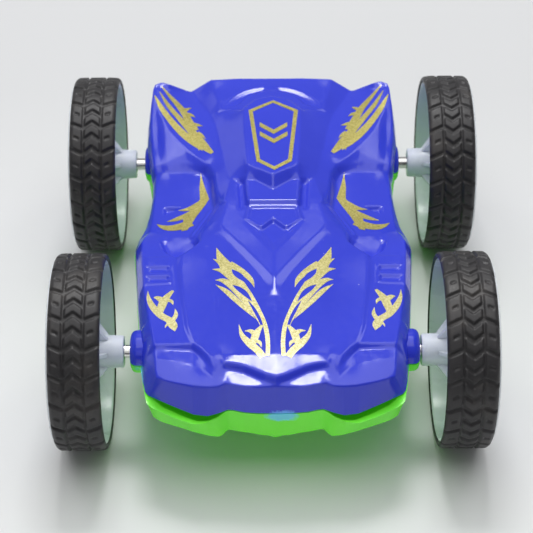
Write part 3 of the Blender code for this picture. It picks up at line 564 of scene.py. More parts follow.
def round_walls(mesh, skin, sign, lower):
    """Round the upper edge of the walls; the parting line and screw wells stay put."""
    bm = bmesh.new()
    bm.from_mesh(mesh)
    bm.verts.ensure_lookup_table()
    bmesh.ops.recalc_face_normals(bm, faces=bm.faces)
    moving = [bm.verts[k] for k in sorted(skin)
              if (bm.verts[k].co.z / MM - AXLE_Z) * sign > SPLIT + 0.5]
    if lower:
        moving = [vert for vert in moving
                  if all(math.hypot(abs(vert.co.x) / MM - well_x, vert.co.y / MM - well_y)
                         > WELL_KEEP_R for well_x, well_y in SCREWS)]
    for _ in range(2 if lower else 1):
        bmesh.ops.smooth_vert(bm, verts=moving, factor=0.5,
                              use_axis_x=True, use_axis_y=True, use_axis_z=True)
    bm.to_mesh(mesh)
    bm.free()


def shell_mesh(name, grid, lower):
    verts, faces, outer_count, rim = half_shell(grid, lower)
    # mirror the half, sharing the vertices on the centre line
    full = list(verts)
    mirror = {}
    for k, (x, y, z) in enumerate(verts):
        if x < 1e-6:
            full[k] = (0.0, y, z)
            mirror[k] = k
        else:
            mirror[k] = len(full)
            full.append((-x, y, z))
    faces = faces + [tuple(mirror[k] for k in face[::-1]) for face in faces]
    sign = 1.0
    if lower:
        sign = -1.0
        faces = [face[::-1] for face in faces]
    mesh = new_mesh(name, [(x * MM, y * MM, (AXLE_Z + sign * z) * MM) for x, y, z in full],
                    faces)
    skin = set(range(outer_count)) - set(rim)
    round_walls(mesh, skin | {mirror[k] for k in skin}, sign, lower)
    return mesh


def add(name, mesh, material, body):
    """Link a mesh as a smooth object that rides on a body of the frame."""
    ob = bpy.data.objects.new(name, mesh)
    bpy.context.scene.collection.objects.link(ob)
    mesh.materials.clear()
    mesh.materials.append(material)
    mesh.shade_smooth()
    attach(ob, body)
    return ob


# ---- Printed flames: tapered strokes merged into one thin film ----

FILM_LIFT, FILM_SINK = 0.07, 0.12    # film surfaces above and below the skin
FILM_EDGE_STEP, FILM_STEP = 0.6, 0.55


def curve_points(spine, steps):
    """Catmull-Rom through (x, y, width) rows."""
    knots = [np.array(row, float) for row in spine]
    knots = [2 * knots[0] - knots[1]] + knots + [2 * knots[-1] - knots[-2]]
    points = []
    for k in range(1, len(knots) - 2):
        before, start, end, after = knots[k - 1:k + 3]
        for t in np.linspace(0, 1, steps, endpoint=False):
            points.append(0.5 * (2 * start + (end - before) * t
                                 + (2 * before - 5 * start + 4 * end - after) * t * t
                                 + (3 * start - before - 3 * end + after) * t ** 3))
    points.append(knots[-2])
    return np.array(points)


def stroke(spine, steps=10):
    """Outline of a tapered brush stroke along a spine of (x, y, width)."""
    curve = curve_points(spine, steps)
    along = np.gradient(curve[:, :2], axis=0)
    along /= np.maximum(np.linalg.norm(along, axis=1), 1e-9)[:, None]
    across = np.stack([-along[:, 1], along[:, 0]], 1)
    half = np.maximum(curve[:, 2], 0.06)[:, None] / 2
    left, right = curve[:, :2] + across * half, curve[:, :2] - across * half
    return [tuple(point) for point in np.concatenate([left, right[::-1]])]


def dense(outline):
    """The closed outline with points added along its long sides."""
    points = []
    for a, b in zip(outline, outline[1:] + outline[:1]):
        n = max(1, int(math.dist(a, b) / FILM_EDGE_STEP))
        points += [(a[0] + (b[0] - a[0]) * k / n, a[1] + (b[1] - a[1]) * k / n)
                   for k in range(n)]
    return points


def film_triangles(polys, holes):
    """Plan points and triangles that cover the outlines but not the holes."""
    points, outlines = [], []
    for poly in polys + holes:
        edge = dense(poly)
        area = sum(a[0] * b[1] - b[0] * a[1] for a, b in zip(edge, edge[1:] + edge[:1]))
        if area < 0:
            edge = edge[::-1]
        outlines.append(list(range(len(points), len(points) + len(edge))))
        points += [Vector(point) for point in edge]
    xs, ys = [point.x for point in points], [point.y for point in points]
    for x in np.arange(min(xs), max(xs), FILM_STEP):
        for y in np.arange(min(ys), max(ys), FILM_STEP):
            # the small offset keeps grid points off the outlines
            points.append(Vector((float(x) + 0.013, float(y) + 0.007)))
    result = delaunay_2d_cdt(points, [], outlines, 0, 1e-5)
    return result[0], [face for face, inside in zip(result[2], result[5])
                       if inside and max(inside) < len(polys)]


def film(name, polys, tree, material, holes=()):
    """A thin print that follows the skin under it, with cut-outs."""
    flat, triangles = film_triangles(list(polys), list(holes))
    used = sorted({k for triangle in triangles for k in triangle})
    index = {k: n for n, k in enumerate(used)}
    top, bottom = [], []
    for k in used:
        x, y = flat[k].x * MM, flat[k].y * MM
        spot, normal = tree.ray_cast(Vector((x, y, 0.2)), Vector((0, 0, -1)))[:2]
        steepness = min(1.6, 1 / max(normal.z, 0.4))
        top.append((x, y, spot.z + FILM_LIFT * MM * steepness))
        bottom.append((x, y, spot.z - FILM_SINK * MM * steepness))
    count = len(used)
    triangles = [tuple(index[k] for k in triangle) for triangle in triangles]
    a, b, c = (top[k] for k in triangles[0])
    if (b[0] - a[0]) * (c[1] - a[1]) - (b[1] - a[1]) * (c[0] - a[0]) < 0:
        triangles = [triangle[::-1] for triangle in triangles]
    faces = triangles + [tuple(k + count for k in t[::-1]) for t in triangles]
    edges = dict.fromkeys(edge for t in triangles
                          for edge in ((t[0], t[1]), (t[1], t[2]), (t[2], t[0])))
    for p, q in edges:
        if (q, p) not in edges:      # open edge: close the film's side
            faces.append((p, p + count, q + count, q))
    mesh = new_mesh(name, top + bottom, faces)
    add(name, mesh, material, "chassis")
    mesh.set_sharp_from_angle(angle=math.radians(40))


def flip(polys):
    return [[(-x, y) for x, y in poly] for poly in polys]


# Strokes are rows of (x, y, width); plain lists are outlines of (x, y)
BONNET_FLAME = [
    stroke([(1.7, -47.6, 0.95), (1.65, -43.2, 0.95), (2.2, -38.6, 1.0),
            (3.7, -33.6, 1.15), (5.6, -28.9, 1.5), (7.9, -24.4, 2.1),
            (10.3, -19.6, 2.9), (12.1, -15.6, 1.9), (13.2, -11.7, 0.05)]),
    stroke([(2.4, -41.4, 0.05), (3.1, -38.0, 0.6), (4.6, -33.9, 1.2),
            (6.9, -29.3, 1.8), (9.4, -25.1, 1.9), (11.6, -22.9, 1.2),
            (13.3, -22.5, 0.05)]),
    stroke([(4.3, -36.2, 0.05), (6.2, -33.2, 0.9), (8.6, -29.7, 1.25),
            (11.0, -26.3, 1.1), (13.2, -24.0, 0.05)]),
    stroke([(7.4, -25.6, 1.0), (9.6, -21.9, 2.2), (11.8, -19.6, 1.4),
            (14.0, -18.8, 0.05)]),
    stroke([(8.8, -22.7, 1.2), (10.6, -19.3, 2.2), (12.3, -16.9, 1.1),
            (13.9, -15.3, 0.05)]),
    stroke([(10.2, -17.6, 1.6), (8.4, -19.5, 1.6), (6.6, -21.7, 1.4),
            (5.2, -24.0, 1.0), (4.5, -26.4, 0.05)]),
]
BONNET_GAPS = [
    stroke([(9.6, -19.6, 0.1), (8.8, -20.9, 1.2), (7.6, -22.5, 1.4), (6.6, -24.4, 0.1)]),
    stroke([(9.4, -24.8, 0.1), (8.1, -26.1, 1.1), (6.6, -28.0, 1.2), (5.0, -30.8, 0.1)]),
    stroke([(5.9, -30.4, 0.1), (4.6, -33.2, 0.7), (3.2, -37.2, 0.65), (2.3, -41.8, 0.1)]),
]
BONNET_CURL = [
    stroke([(2.7, -47.8, 1.5), (3.9, -45.8, 1.7), (5.6, -43.6, 1.7),
            (7.2, -40.9, 1.0), (7.9, -37.6, 0.05)]),
    stroke([(4.9, -44.4, 1.0), (4.5, -42.2, 1.7), (3.9, -40.3, 1.5),
            (2.8, -38.4, 0.5)]),
    stroke([(4.4, -41.0, 1.2), (5.3, -39.9, 1.0), (6.6, -39.7, 0.1)]),
    stroke([(4.4, -42.8, 0.9), (3.4, -43.6, 0.8), (3.0, -45.0, 0.05)]),
]
FENDER_CURL = [
    stroke([(21.9, -37.9, 0.1), (22.3, -36.2, 1.9), (23.3, -34.2, 1.7),
            (25.2, -32.4, 1.7), (27.1, -29.4, 1.5), (28.2, -26.4, 0.9),
            (28.5, -23.8, 0.05)]),
    stroke([(25.4, -31.6, 1.2), (25.1, -29.3, 2.0), (24.4, -27.0, 1.8),
            (22.8, -24.5, 0.7)]),
    stroke([(25.0, -27.6, 1.5), (26.1, -26.5, 1.2), (27.0, -26.2, 0.3)]),
    stroke([(24.2, -27.2, 1.0), (23.0, -28.1, 0.8), (22.6, -29.3, 0.05)]),
    stroke([(22.9, -35.0, 1.2), (21.9, -32.8, 1.0), (22.1, -30.6, 0.05)]),
    stroke([(23.2, -34.9, 0.8), (23.9, -35.9, 0.5), (24.1, -36.6, 0.05)]),
]
POD_BLADE = [
    [(17.6, 20.4), (16.6, 15.6), (15.35, 10.6), (17.6, 10.6), (17.85, 15.4)],
    [(15.35, 10.6), (16.2, 8.4), (18.2, 4.4), (20.3, -0.9), (21.7, -1.0),
     (21.4, 4.0), (19.6, 7.6), (17.6, 10.7)],
    stroke([(17.0, 9.3, 2.4), (18.8, 8.1, 2.2), (20.9, 7.5, 1.1), (22.7, 7.6, 0.1)], 6),
    stroke([(18.3, 6.2, 2.6), (20.9, 5.0, 2.0), (23.2, 4.2, 1.4), (25.3, 3.9, 0.1)], 6),
    stroke([(19.4, 2.0, 3.0), (21.5, 1.1, 2.9), (24.1, 1.0, 2.3), (26.3, 2.1, 1.2),
            (27.8, 3.6, 0.05)], 6),
]
WING_STREAKS = [
    stroke([(29.9, 47.2, 0.2), (27.9, 42.6, 1.4), (25.2, 37.7, 1.8),
            (21.9, 32.6, 2.1), (19.0, 28.9, 1.9), (17.2, 26.0, 0.1)]),
    stroke([(28.7, 48.9, 0.2), (26.3, 44.2, 1.2), (23.5, 39.6, 1.5),
            (20.4, 34.4, 2.0), (18.3, 30.4, 2.4), (16.4, 27.0, 1.9),
            (14.8, 24.6, 0.9)]),
    stroke([(28.2, 50.9, 0.2), (25.4, 47.3, 1.3), (22.9, 43.4, 1.8),
            (21.2, 39.2, 1.9), (19.0, 34.4, 1.4)]),
    stroke([(22.9, 42.4, 1.4), (21.7, 43.6, 1.2), (20.6, 44.5, 0.3)], 6),
    stroke([(21.6, 41.4, 1.4), (20.6, 41.2, 1.2), (19.4, 40.3, 0.1)], 6),
    stroke([(20.4, 37.0, 1.8), (19.1, 36.8, 1.4), (17.4, 36.2, 0.1)], 6),
    stroke([(18.8, 33.2, 1.6), (17.6, 32.2, 0.9), (16.6, 30.6, 0.1)], 6),
    stroke([(18.8, 29.4, 1.3), (18.2, 27.6, 0.9), (18.1, 26.2, 0.1)], 6),
]
SHIELD_X = 0.35              # the roof print sits slightly off centre


def shield_polys():
    """A hexagonal frame with two plain chevrons in it."""
    def hexagon(front, front_side, rear_side, rear):
        """Front and rear are y; each side corner is (half width, y)."""
        return [(SHIELD_X, rear), (SHIELD_X + rear_side[0], rear_side[1]),
                (SHIELD_X + front_side[0], front_side[1]), (SHIELD_X, front),
                (SHIELD_X - front_side[0], front_side[1]),
                (SHIELD_X - rear_side[0], rear_side[1])]
    outer = hexagon(front=11.3, front_side=(4.25, 15.0), rear_side=(6.2, 36.6), rear=40.7)
    inner = hexagon(front=12.7, front_side=(3.35, 15.7), rear_side=(5.1, 36.0), rear=39.6)
    polys = [[outer[k], outer[(k + 1) % 6], inner[(k + 1) % 6], inner[k]]
             for k in range(6)]
    left, right = SHIELD_X - 3.4, SHIELD_X + 3.4
    for dy in (0.0, -3.9):
        polys.append([(left, 31.2 + dy), (SHIELD_X, 27.9 + dy), (right, 31.2 + dy),
                      (right, 29.4 + dy), (SHIELD_X, 26.1 + dy), (left, 29.4 + dy)])
    return polys


# ---- Procedural finishes ----

class Shader:
    """Builds nodes in the tree of a material or world."""

    def __init__(self, owner, target="Principled BSDF"):
        owner.use_nodes = True
        self.tree = owner.node_tree
        self.target = self.tree.nodes[target]

    def feed(self, node, inputs):
        """Link or set inputs, given by name or number."""
        for key, value in inputs.items():
            if isinstance(value, bpy.types.NodeSocket):
                self.tree.links.new(value, node.inputs[key])
            else:
                node.inputs[key].default_value = value

    def surface(self, inputs):
        self.feed(self.target, inputs)

    def node(self, kind, inputs, **settings):
        """Add a node and return its outputs."""
        node = self.tree.nodes.new("ShaderNode" + kind)
        for key, value in settings.items():
            setattr(node, key, value)
        self.feed(node, inputs)
        return node.outputs

    def place(self, space="Object"):
        return self.node("TexCoord", {})[space]

    def noise(self, scale, detail=3.0, rough=0.55, stretch=None):
        place = self.place()
        if stretch:
            place = self.node("Mapping", {"Scale": stretch, "Vector": place})["Vector"]
        return self.node("TexNoise", {"Scale": scale, "Detail": detail,
                                      "Roughness": rough, "Vector": place})["Fac"]

    def cells(self, place, scale):
        """Voronoi distance, and three random values per cell."""
        cells = self.node("TexVoronoi", {"Scale": scale, "Vector": place})
        return cells["Distance"], self.node("SeparateColor", {0: cells["Color"]})

    def spread(self, value, low=0.0, high=1.0, start=0.3, end=0.7):
        """Map start..end onto low..high."""
        return self.node("MapRange", {"From Min": start, "From Max": end, "To Min": low,
                                      "To Max": high, "Value": value})["Result"]

    def mix(self, amount, first, second):
        """Colour mix; first and second are colours or sockets."""
        first, second = [(*colour, 1) if isinstance(colour, tuple) else colour
                         for colour in (first, second)]
        return self.node("Mix", {0: amount, 6: first, 7: second}, data_type="RGBA")[2]

    def calc(self, operation, first, second):
        return self.node("Math", {0: first, 1: second}, operation=operation)[0]

    def bump(self, height, distance, under=None):
        """Bump the surface, over an earlier bump if given."""
        inputs = {"Distance": distance, "Height": height}
        if under is not None:
            inputs["Normal"] = under
        normal = self.node("Bump", inputs)["Normal"]
        self.surface({"Normal": normal})
        return normal


def scaled(colour, factor):
    return tuple(min(1.0, channel * factor) for channel in colour)


def finish(name, base, rough, metal=0.0, drift=0.12, grain=1800.0, grain_height=3e-6,
           stretch=None, subsurface=0.0, dust=0.0):
    """Moulded plastic or turned metal: drift, grain and uneven gloss."""
    material = bpy.data.materials.new(name)
    shader = Shader(material)
    broad = shader.spread(shader.noise(scale=120.0, detail=4.0))
    fine = shader.spread(shader.noise(scale=grain, detail=4.0, rough=0.6, stretch=stretch))
    dark = scaled(base, 1 - drift)
    colour = shader.mix(broad, dark, scaled(base, 1 + drift))
    colour = shader.mix(shader.calc("MULTIPLY", fine, 0.25), colour, dark)
    if dust:
        spots = shader.spread(shader.noise(scale=grain * 0.35, detail=6.0, rough=0.7),
                              high=dust, start=0.6, end=0.75)
        colour = shader.mix(spots, colour, (0.42, 0.40, 0.37))
    gloss = shader.spread(broad, low=rough * 0.85, high=min(1.0, rough * 1.2),
                          start=0, end=1)
    shader.surface({"Base Color": colour, "Roughness": gloss, "Metallic": metal,
                    "Coat Roughness": 0.08})
    if subsurface:
        shader.surface({"Subsurface Weight": subsurface, "Subsurface Scale": 1.0,
                        "Subsurface Radius": (0.002, 0.002, 0.002)})
    shader.bump(fine, distance=grain_height)
    return material


# Light blue paint smears: (centre, radii)
SMEARS = (((0.0014, -0.0555, 0.0212), (0.0036, 0.004, 0.0017)),
          ((-0.0300, -0.0425, 0.0214), (0.0045, 0.0028, 0.0024)))


def smear_mask(shader, centre, radii):
    """1 inside a ragged blob round a point."""
    offset = shader.node("VectorMath", {0: shader.place(), 1: centre},
                         operation="SUBTRACT")[0]
    offset = shader.node("VectorMath", {0: offset, 1: radii}, operation="DIVIDE")[0]
    length = shader.node("VectorMath", {0: offset}, operation="LENGTH")["Value"]
    ragged = shader.calc("SUBTRACT", shader.noise(scale=900.0, detail=5.0, rough=0.7), 0.5)
    distance = shader.calc("ADD", length, shader.calc("MULTIPLY", ragged, 1.0))
    return shader.spread(distance, low=1.0, high=0.0, start=0.75, end=1.1)


def scratch_mask(shader, place):
    """Hairline scratches in two directions."""
    lines = []
    for angle in (0.5, -0.9):
        turned = shader.node("Mapping", {"Rotation": (0, 0, angle),
                                         "Scale": (1.0, 0.035, 1.0), "Vector": place})
        streaks = shader.node("TexNoise", {"Scale": 1500.0, "Detail": 2.0,
                                           "Vector": turned["Vector"]})["Fac"]
        lines.append(shader.spread(streaks, start=0.69, end=0.73))
    return shader.calc("MAXIMUM", *lines)


def shell_paint(name, base, deep, rough, painted_glow, painted_glow_strength, wave, fine, scars):
    """Glossy moulded shell: grain, fine scratches, dust, paint smears and a painted glow.
    Wave and fine are bump heights; scars scales the wear."""
    material = bpy.data.materials.new(name)
    shader = Shader(material)
    colour = shader.mix(shader.spread(shader.noise(scale=60.0)), deep, base)
    # dust specks in a fifth of the cells
    place = shader.place()
    distance, random = shader.cells(place, scale=260.0)
    speck = shader.spread(distance, low=1.0, high=0.0, start=0.02, end=0.05)
    chosen = shader.calc("GREATER_THAN", random[0], 0.8)
    speck = shader.calc("MULTIPLY", shader.calc("MULTIPLY", speck, chosen), 0.55)
    colour = shader.mix(speck, colour, (0.6, 0.62, 0.72))
    scratch = scratch_mask(shader, place)
    colour = shader.mix(shader.calc("MULTIPLY", scratch, 0.04 * scars), colour,
                        tuple(min(1, channel * 1.4 + 0.05) for channel in base))
    for centre, radii in SMEARS:
        blob = shader.calc("MULTIPLY", smear_mask(shader, centre, radii), 0.97)
        colour = shader.mix(blob, colour, (0.16, 0.50, 1.0))
    gloss = shader.spread(shader.noise(scale=700.0, detail=5.0, rough=0.7),
                          low=rough * (1 - 0.4 * scars), high=rough * (1 + 0.8 * scars))
    gloss = shader.calc("ADD", gloss, shader.calc("MULTIPLY", scratch, 0.05 * scars))
    # painted glow: the shell emits light of its own colour, at full strength to the camera
    # and weaker on what it lights
    camera_ray = shader.node("LightPath", {})["Is Camera Ray"]
    shader.surface({
        "Base Color": colour, "Roughness": gloss, "Specular IOR Level": 0.55,
        "Emission Color": (*painted_glow, 1),
        "Emission Strength": shader.spread(camera_ray, low=painted_glow_strength * 0.55,
                                           high=painted_glow_strength)})
    normal = shader.bump(shader.noise(scale=110.0, detail=2.0), distance=wave)
    normal = shader.bump(shader.noise(scale=2600.0, detail=4.0, rough=0.7), distance=fine,
                         under=normal)
    shader.bump(scratch, distance=1.5e-6 * scars, under=normal)
    return material


def print_gold():
    """Metallic ink: gold with fine bright flakes, paler towards the nose."""
    material = bpy.data.materials.new("gold_print")
    shader = Shader(material)
    place = shader.place()
    _, random = shader.cells(place, scale=4200.0)
    flake = shader.spread(random[0], start=0.0, end=1.0)
    drift = shader.spread(shader.noise(scale=150.0))
    colour = shader.mix(flake, (0.34, 0.290, 0.055), (0.62, 0.55, 0.19))
    colour = shader.mix(shader.calc("MULTIPLY", drift, 0.35), colour, (0.45, 0.39, 0.10))
    y = shader.node("SeparateXYZ", {0: place})[1]
    pale = shader.spread(y, high=0.75, start=0.0, end=-0.045)
    light = shader.mix(flake, (0.62, 0.56, 0.24), (0.95, 0.91, 0.60))
    shader.surface({"Base Color": shader.mix(pale, colour, light), "Metallic": 0.5,
                    "Roughness": shader.spread(random[1], low=0.28, high=0.55,
                                               start=0, end=1)})
    shader.bump(random[2], distance=1.6e-5)
    return material


def tyre_rubber():
    material = bpy.data.materials.new("tyre_rubber_worn")
    shader = Shader(material)
    drift = shader.spread(shader.noise(scale=140.0, detail=4.0))
    colour = shader.mix(drift, (0.014, 0.0135, 0.015), (0.026, 0.0245, 0.027))
    grit = shader.spread(shader.noise(scale=3200.0, detail=6.0, rough=0.7), start=0.35)
    colour = shader.mix(shader.calc("MULTIPLY", grit, 0.35), colour, (0.060, 0.056, 0.058))
    dusty = shader.spread(shader.noise(scale=90.0, detail=5.0, rough=0.65), high=0.5,
                          start=0.5, end=0.8)
    colour = shader.mix(dusty, colour, (0.115, 0.102, 0.092))
    shader.surface({"Base Color": colour, "Specular IOR Level": 0.45,
                    "Roughness": shader.spread(grit, low=0.38, high=0.58, start=0, end=1)})
    normal = shader.bump(shader.noise(scale=500.0, detail=4.0), distance=2.5e-5)
    shader.bump(shader.noise(scale=4200.0), distance=1.0e-5, under=normal)
    return material


# ---- Wheels ----
# Section coordinates: radius r, and u measured outwards from the tyre's inner face.

TREAD_PITCHES = 42
TYRE_SEGMENTS = TREAD_PITCHES * 14
TYRE_HALF_WIDTH = 5.5
TREAD_DEPTH = 0.52
RING_AT = 0.39               # ring grooves, as a fraction of the half width
TYRE_INSET = 0.2             # the tyre starts this far outside its CAD box

RIM_SEGMENTS = 144
RIM_TURN = math.radians(90)
SPOKES = 6
DISC_U = 8.0
BORE_END_U = 8.2
HUB_CAP_U = 9.62
GUSSET_HALF = 0.42
GUSSET_OUTLINE = [(3.3, -0.4), (3.75, -0.3), (12.6, 6.3), (12.8, 6.75), (3.3, 6.75)]


def revolve_faces(segments, count, closed):
    """Quads round a revolved section of count points."""
    faces = []
    for i in range(segments):
        here, there = i * count, (i + 1) % segments * count
        for j in range(count if closed else count - 1):
            k = (j + 1) % count
            faces.append((here + j, here + k, there + k, there + j))
    return faces


def tread_depth(arc, u):
    """Depth of the tread pattern at an arc length and a place u across the tyre."""
    across = np.abs((u - TYRE_HALF_WIDTH) / TYRE_HALF_WIDTH)
    pitch = 2 * math.pi * TYRE_R / TREAD_PITCHES

    def cut(distance, half):
        return 1 - smoothstep(half - 0.16, half + 0.12, distance)

    def repeated(phase, spacing, half):
        return cut(np.abs(phase - np.floor(phase) - 0.5) * spacing, half)

    rings = cut(np.abs(across - RING_AT) * TYRE_HALF_WIDTH, 0.30)
    chevrons = repeated((arc + 1.4 * across / 0.333) / pitch, pitch, 0.62) * (across < 0.37)
    beyond = (across - RING_AT) * TYRE_HALF_WIDTH
    phase = (arc - 0.45 * beyond) / (2 * pitch)
    # full-length shoulder cuts, with short notches half way between them
    full = repeated(phase, 2 * pitch, 0.50) * (beyond > 0)
    notches = (repeated(phase + 0.5, 2 * pitch, 0.40)
               * smoothstep(0.9, 1.15, beyond) * (1 - smoothstep(2.1, 2.35, beyond)))
    return TREAD_DEPTH * np.maximum(np.maximum(rings, chevrons),
                                    np.maximum(full, 0.6 * notches))


def tyre_mesh(name, inner_x, side, centre_y, centre_z):
    # (r, u): inner wall, crowned tread, outer wall
    profile = [(20.58, 0.3), (20.6, -0.02), (20.75, -0.17), (21.15, -0.18),
               (21.5, -0.02), (21.78, 0.35)]
    profile += [(TYRE_R - 0.10 * ((u - TYRE_HALF_WIDTH) / 4.55) ** 4, u)
                for u in np.linspace(0.8, 10.05, 39)]
    profile += [(21.72, 10.42), (21.45, 10.74), (21.1, 10.93), (20.8, 10.98),
                (20.6, 10.9)]
    radii, across = np.array(profile).T
    on_tread = smoothstep(21.0, 21.6, radii)
    angles = np.arange(TYRE_SEGMENTS) * 2 * math.pi / TYRE_SEGMENTS
    # the pattern runs the opposite way round on the two sides
    arc, u = np.meshgrid(angles * TYRE_R * -side, across, indexing="ij")
    radius = radii[None, :] - tread_depth(arc, u) * on_tread[None, :]
    points = np.stack([side * (inner_x + u),
                       centre_y - radius * np.cos(angles)[:, None],
                       centre_z + radius * np.sin(angles)[:, None]], -1)
    return new_mesh(name, (points.reshape(-1, 3) * MM).tolist(),
                    revolve_faces(TYRE_SEGMENTS, len(profile), closed=True), recalc=True)


def rim_profile(hub_reach):
    """(r, u) from the hub cap over the disc and flange, then back to the bore."""
    profile = [(2.0, HUB_CAP_U), (2.7, 9.58), (3.2, 9.35), (3.55, 8.9), (3.75, 8.3),
               (4.2, DISC_U)]
    profile += [(r, DISC_U) for r in np.linspace(4.9, 17.6, 18)]
    profile += [
        (18.2, 8.05), (18.7, 8.35), (18.95, 9.0), (19.05, 10.2), (19.15, 11.1),
        (19.35, 11.38), (19.7, 11.4), (20.2, 11.4), (20.45, 11.25), (20.5, 11.0),
        (20.5, 10.7), (20.5, 5.0), (20.5, 0.35), (20.44, 0.2), (20.3, 0.12),
        (20.2, 0.14), (20.12, 0.25), (20.06, 0.6), (19.8, 3.0), (19.55, 5.4), (19.4, 6.2),
        (18.9, 6.55), (17.5, 6.6), (10.0, 6.6), (5.2, 6.6), (4.5, 6.4), (4.1, 5.8),
        (3.75, 2.0), (3.6, -hub_reach + 0.25), (3.4, -hub_reach), (1.9, -hub_reach),
        (1.62, -hub_reach + 0.25), (1.62, BORE_END_U)]
    return profile


def disc_height(r, angle):
    """u of the disc face, with raised spokes and raised rings at both edges."""
    turn = (angle / (2 * math.pi) * SPOKES) % 1.0
    half = (0.24 * 9.0 / r + 0.02)
    spoke = 1 - smoothstep(half - 0.04, half + 0.04, abs(turn - 0.5))
    ring = 1 - smoothstep(0.2, 0.9, min(r - 4.5, 18.1 - r))
    return DISC_U + 0.65 * max(spoke, ring) - 0.15


def rim_mesh(name, inner_x, side, centre_y, centre_z, hub_reach):
    profile = rim_profile(hub_reach)
    count = len(profile)
    verts = []
    for angle in np.arange(RIM_SEGMENTS) * 2 * math.pi / RIM_SEGMENTS:
        for r, u in profile:
            if 4.5 < r < 17.8 and u == DISC_U:
                u = disc_height(r, angle)
            verts.append((u, -r * math.cos(angle + RIM_TURN),
                          r * math.sin(angle + RIM_TURN)))
    faces = revolve_faces(RIM_SEGMENTS, count, closed=False)
    # caps over the hub and the end of the bore
    for end, u in ((0, HUB_CAP_U), (count - 1, BORE_END_U)):
        centre = len(verts)
        verts.append((u, 0, 0))
        for i in range(RIM_SEGMENTS):
            p, q = i * count + end, (i + 1) % RIM_SEGMENTS * count + end
            faces.append((p, q, centre) if end else (q, p, centre))
    # gussets between the hub and the disc
    corners = len(GUSSET_OUTLINE)
    for gusset in range(SPOKES):
        angle = gusset * math.pi / 3 + RIM_TURN
        cos, sin = math.cos(angle), math.sin(angle)
        first = len(verts)
        for w in (-GUSSET_HALF, GUSSET_HALF):
            for r, u in GUSSET_OUTLINE:
                verts.append((u, -r * cos + w * sin, r * sin + w * cos))
        faces.append(tuple(first + k for k in range(corners)))
        faces.append(tuple(first + corners + k for k in reversed(range(corners))))
        for k in range(corners):
            q = (k + 1) % corners
            faces.append((first + k, first + corners + k, first + corners + q, first + q))
    points = [(side * (inner_x + u) * MM, (centre_y + y) * MM, (centre_z + z) * MM)
              for u, y, z in verts]
    mesh = new_mesh(name, points, faces, recalc=True)
    mesh.shade_smooth()
    mesh.set_sharp_from_angle(angle=math.radians(38))
    return mesh


# ---- Build ----

# each shell gets a painted glow: emission of its own colour
BLUE = shell_paint("shell_blue_gloss", base=(0.038, 0.057, 0.60), deep=(0.032, 0.050, 0.56),
                   rough=0.11, painted_glow=(0.0, 0.004, 1.0), painted_glow_strength=0.07,
                   wave=2.0e-5, fine=7.0e-6, scars=1.0)
GREEN = shell_paint("shell_green_fluo_painted_glow", base=(0.200, 0.84, 0.055), deep=(0.185, 0.80, 0.048),
                    rough=0.24, painted_glow=(0.04, 0.55, 0.0), painted_glow_strength=0.26,
                    wave=0.3e-5, fine=0.4e-6, scars=0.15)
GOLD = print_gold()
RUBBER = tyre_rubber()
MILKY = finish("rim_milky", (0.81, 0.86, 0.91), rough=0.28, drift=0.05, grain=900.0,
               grain_height=4e-6, subsurface=0.35)
CHROME = finish("axle_chrome", (0.78, 0.77, 0.76), rough=0.12, metal=1.0, drift=0.06,
                grain=3000.0, grain_height=1.5e-6, stretch=(0.08, 1.0, 1.0))
RED = finish("gear_red_nylon", (0.62, 0.045, 0.035), rough=0.38, subsurface=0.1)
WHITE = finish("gear_white_nylon", (0.80, 0.79, 0.74), rough=0.42, drift=0.05,
               subsurface=0.2)
STEEL = finish("pin_steel", (0.55, 0.55, 0.56), rough=0.24, metal=1.0, stretch=(0.1, 1, 1))
FLYWHEEL = finish("flywheel_zinc", (0.50, 0.50, 0.51), rough=0.33, metal=1.0, drift=0.15,
                  stretch=(1.0, 0.2, 0.2))
BRASS = finish("pinion_brass", (0.78, 0.55, 0.22), rough=0.28, metal=1.0, drift=0.1)
BLACK = finish("gearbox_black", (0.030, 0.031, 0.034), rough=0.48, grain=2400.0,
               grain_height=8e-6, dust=0.2)
ZINC = finish("screw_zinc", (0.60, 0.58, 0.50), rough=0.30, metal=1.0, drift=0.15)

# Finish of each CAD piece: the first pattern that fits its name
CAD_FINISHES = (
    ("*_axle", CHROME), ("*axle_gear", RED), ("*_pin", STEEL), ("flywheel_shaft", STEEL),
    ("*idler*", WHITE), ("flywheel_pinion", BRASS), ("flywheel", FLYWHEEL),
    ("*screw*", ZINC), ("*gearbox*", BLACK),
)
for name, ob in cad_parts.items():
    for pattern, material in CAD_FINISHES:
        if fnmatchcase(name, pattern):
            ob.data.materials.clear()
            ob.data.materials.append(material)
            break

grid = skin_grid()
shells = {}
for half, paint, slot in (("upper", BLUE, "shell_blue"), ("lower", GREEN, "shell_green")):
    name = half + "_body"
    shell = add(name, shell_mesh(name, grid, half == "lower"), paint, "chassis")
    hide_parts(half + "_shell")
    shell.data.set_sharp_from_angle(angle=math.radians(62))
    shells[half] = shell.data

upper_tree = BVHTree.FromPolygons([vert.co for vert in shells["upper"].vertices],
                                  [tuple(p.vertices) for p in shells["upper"].polygons])
for tag, polys, gaps in (("bonnet_flame", BONNET_FLAME, BONNET_GAPS),
                         ("bonnet_curl", BONNET_CURL, []),
                         ("fender_curl", FENDER_CURL, []),
                         ("pod_blade", POD_BLADE, []),
                         ("wing_streaks", WING_STREAKS, [])):
    film(tag + "_right", polys, upper_tree, GOLD, holes=gaps)
    film(tag + "_left", flip(polys), upper_tree, GOLD, holes=flip(gaps))
film("roof_shield", shield_polys(), upper_tree, GOLD)


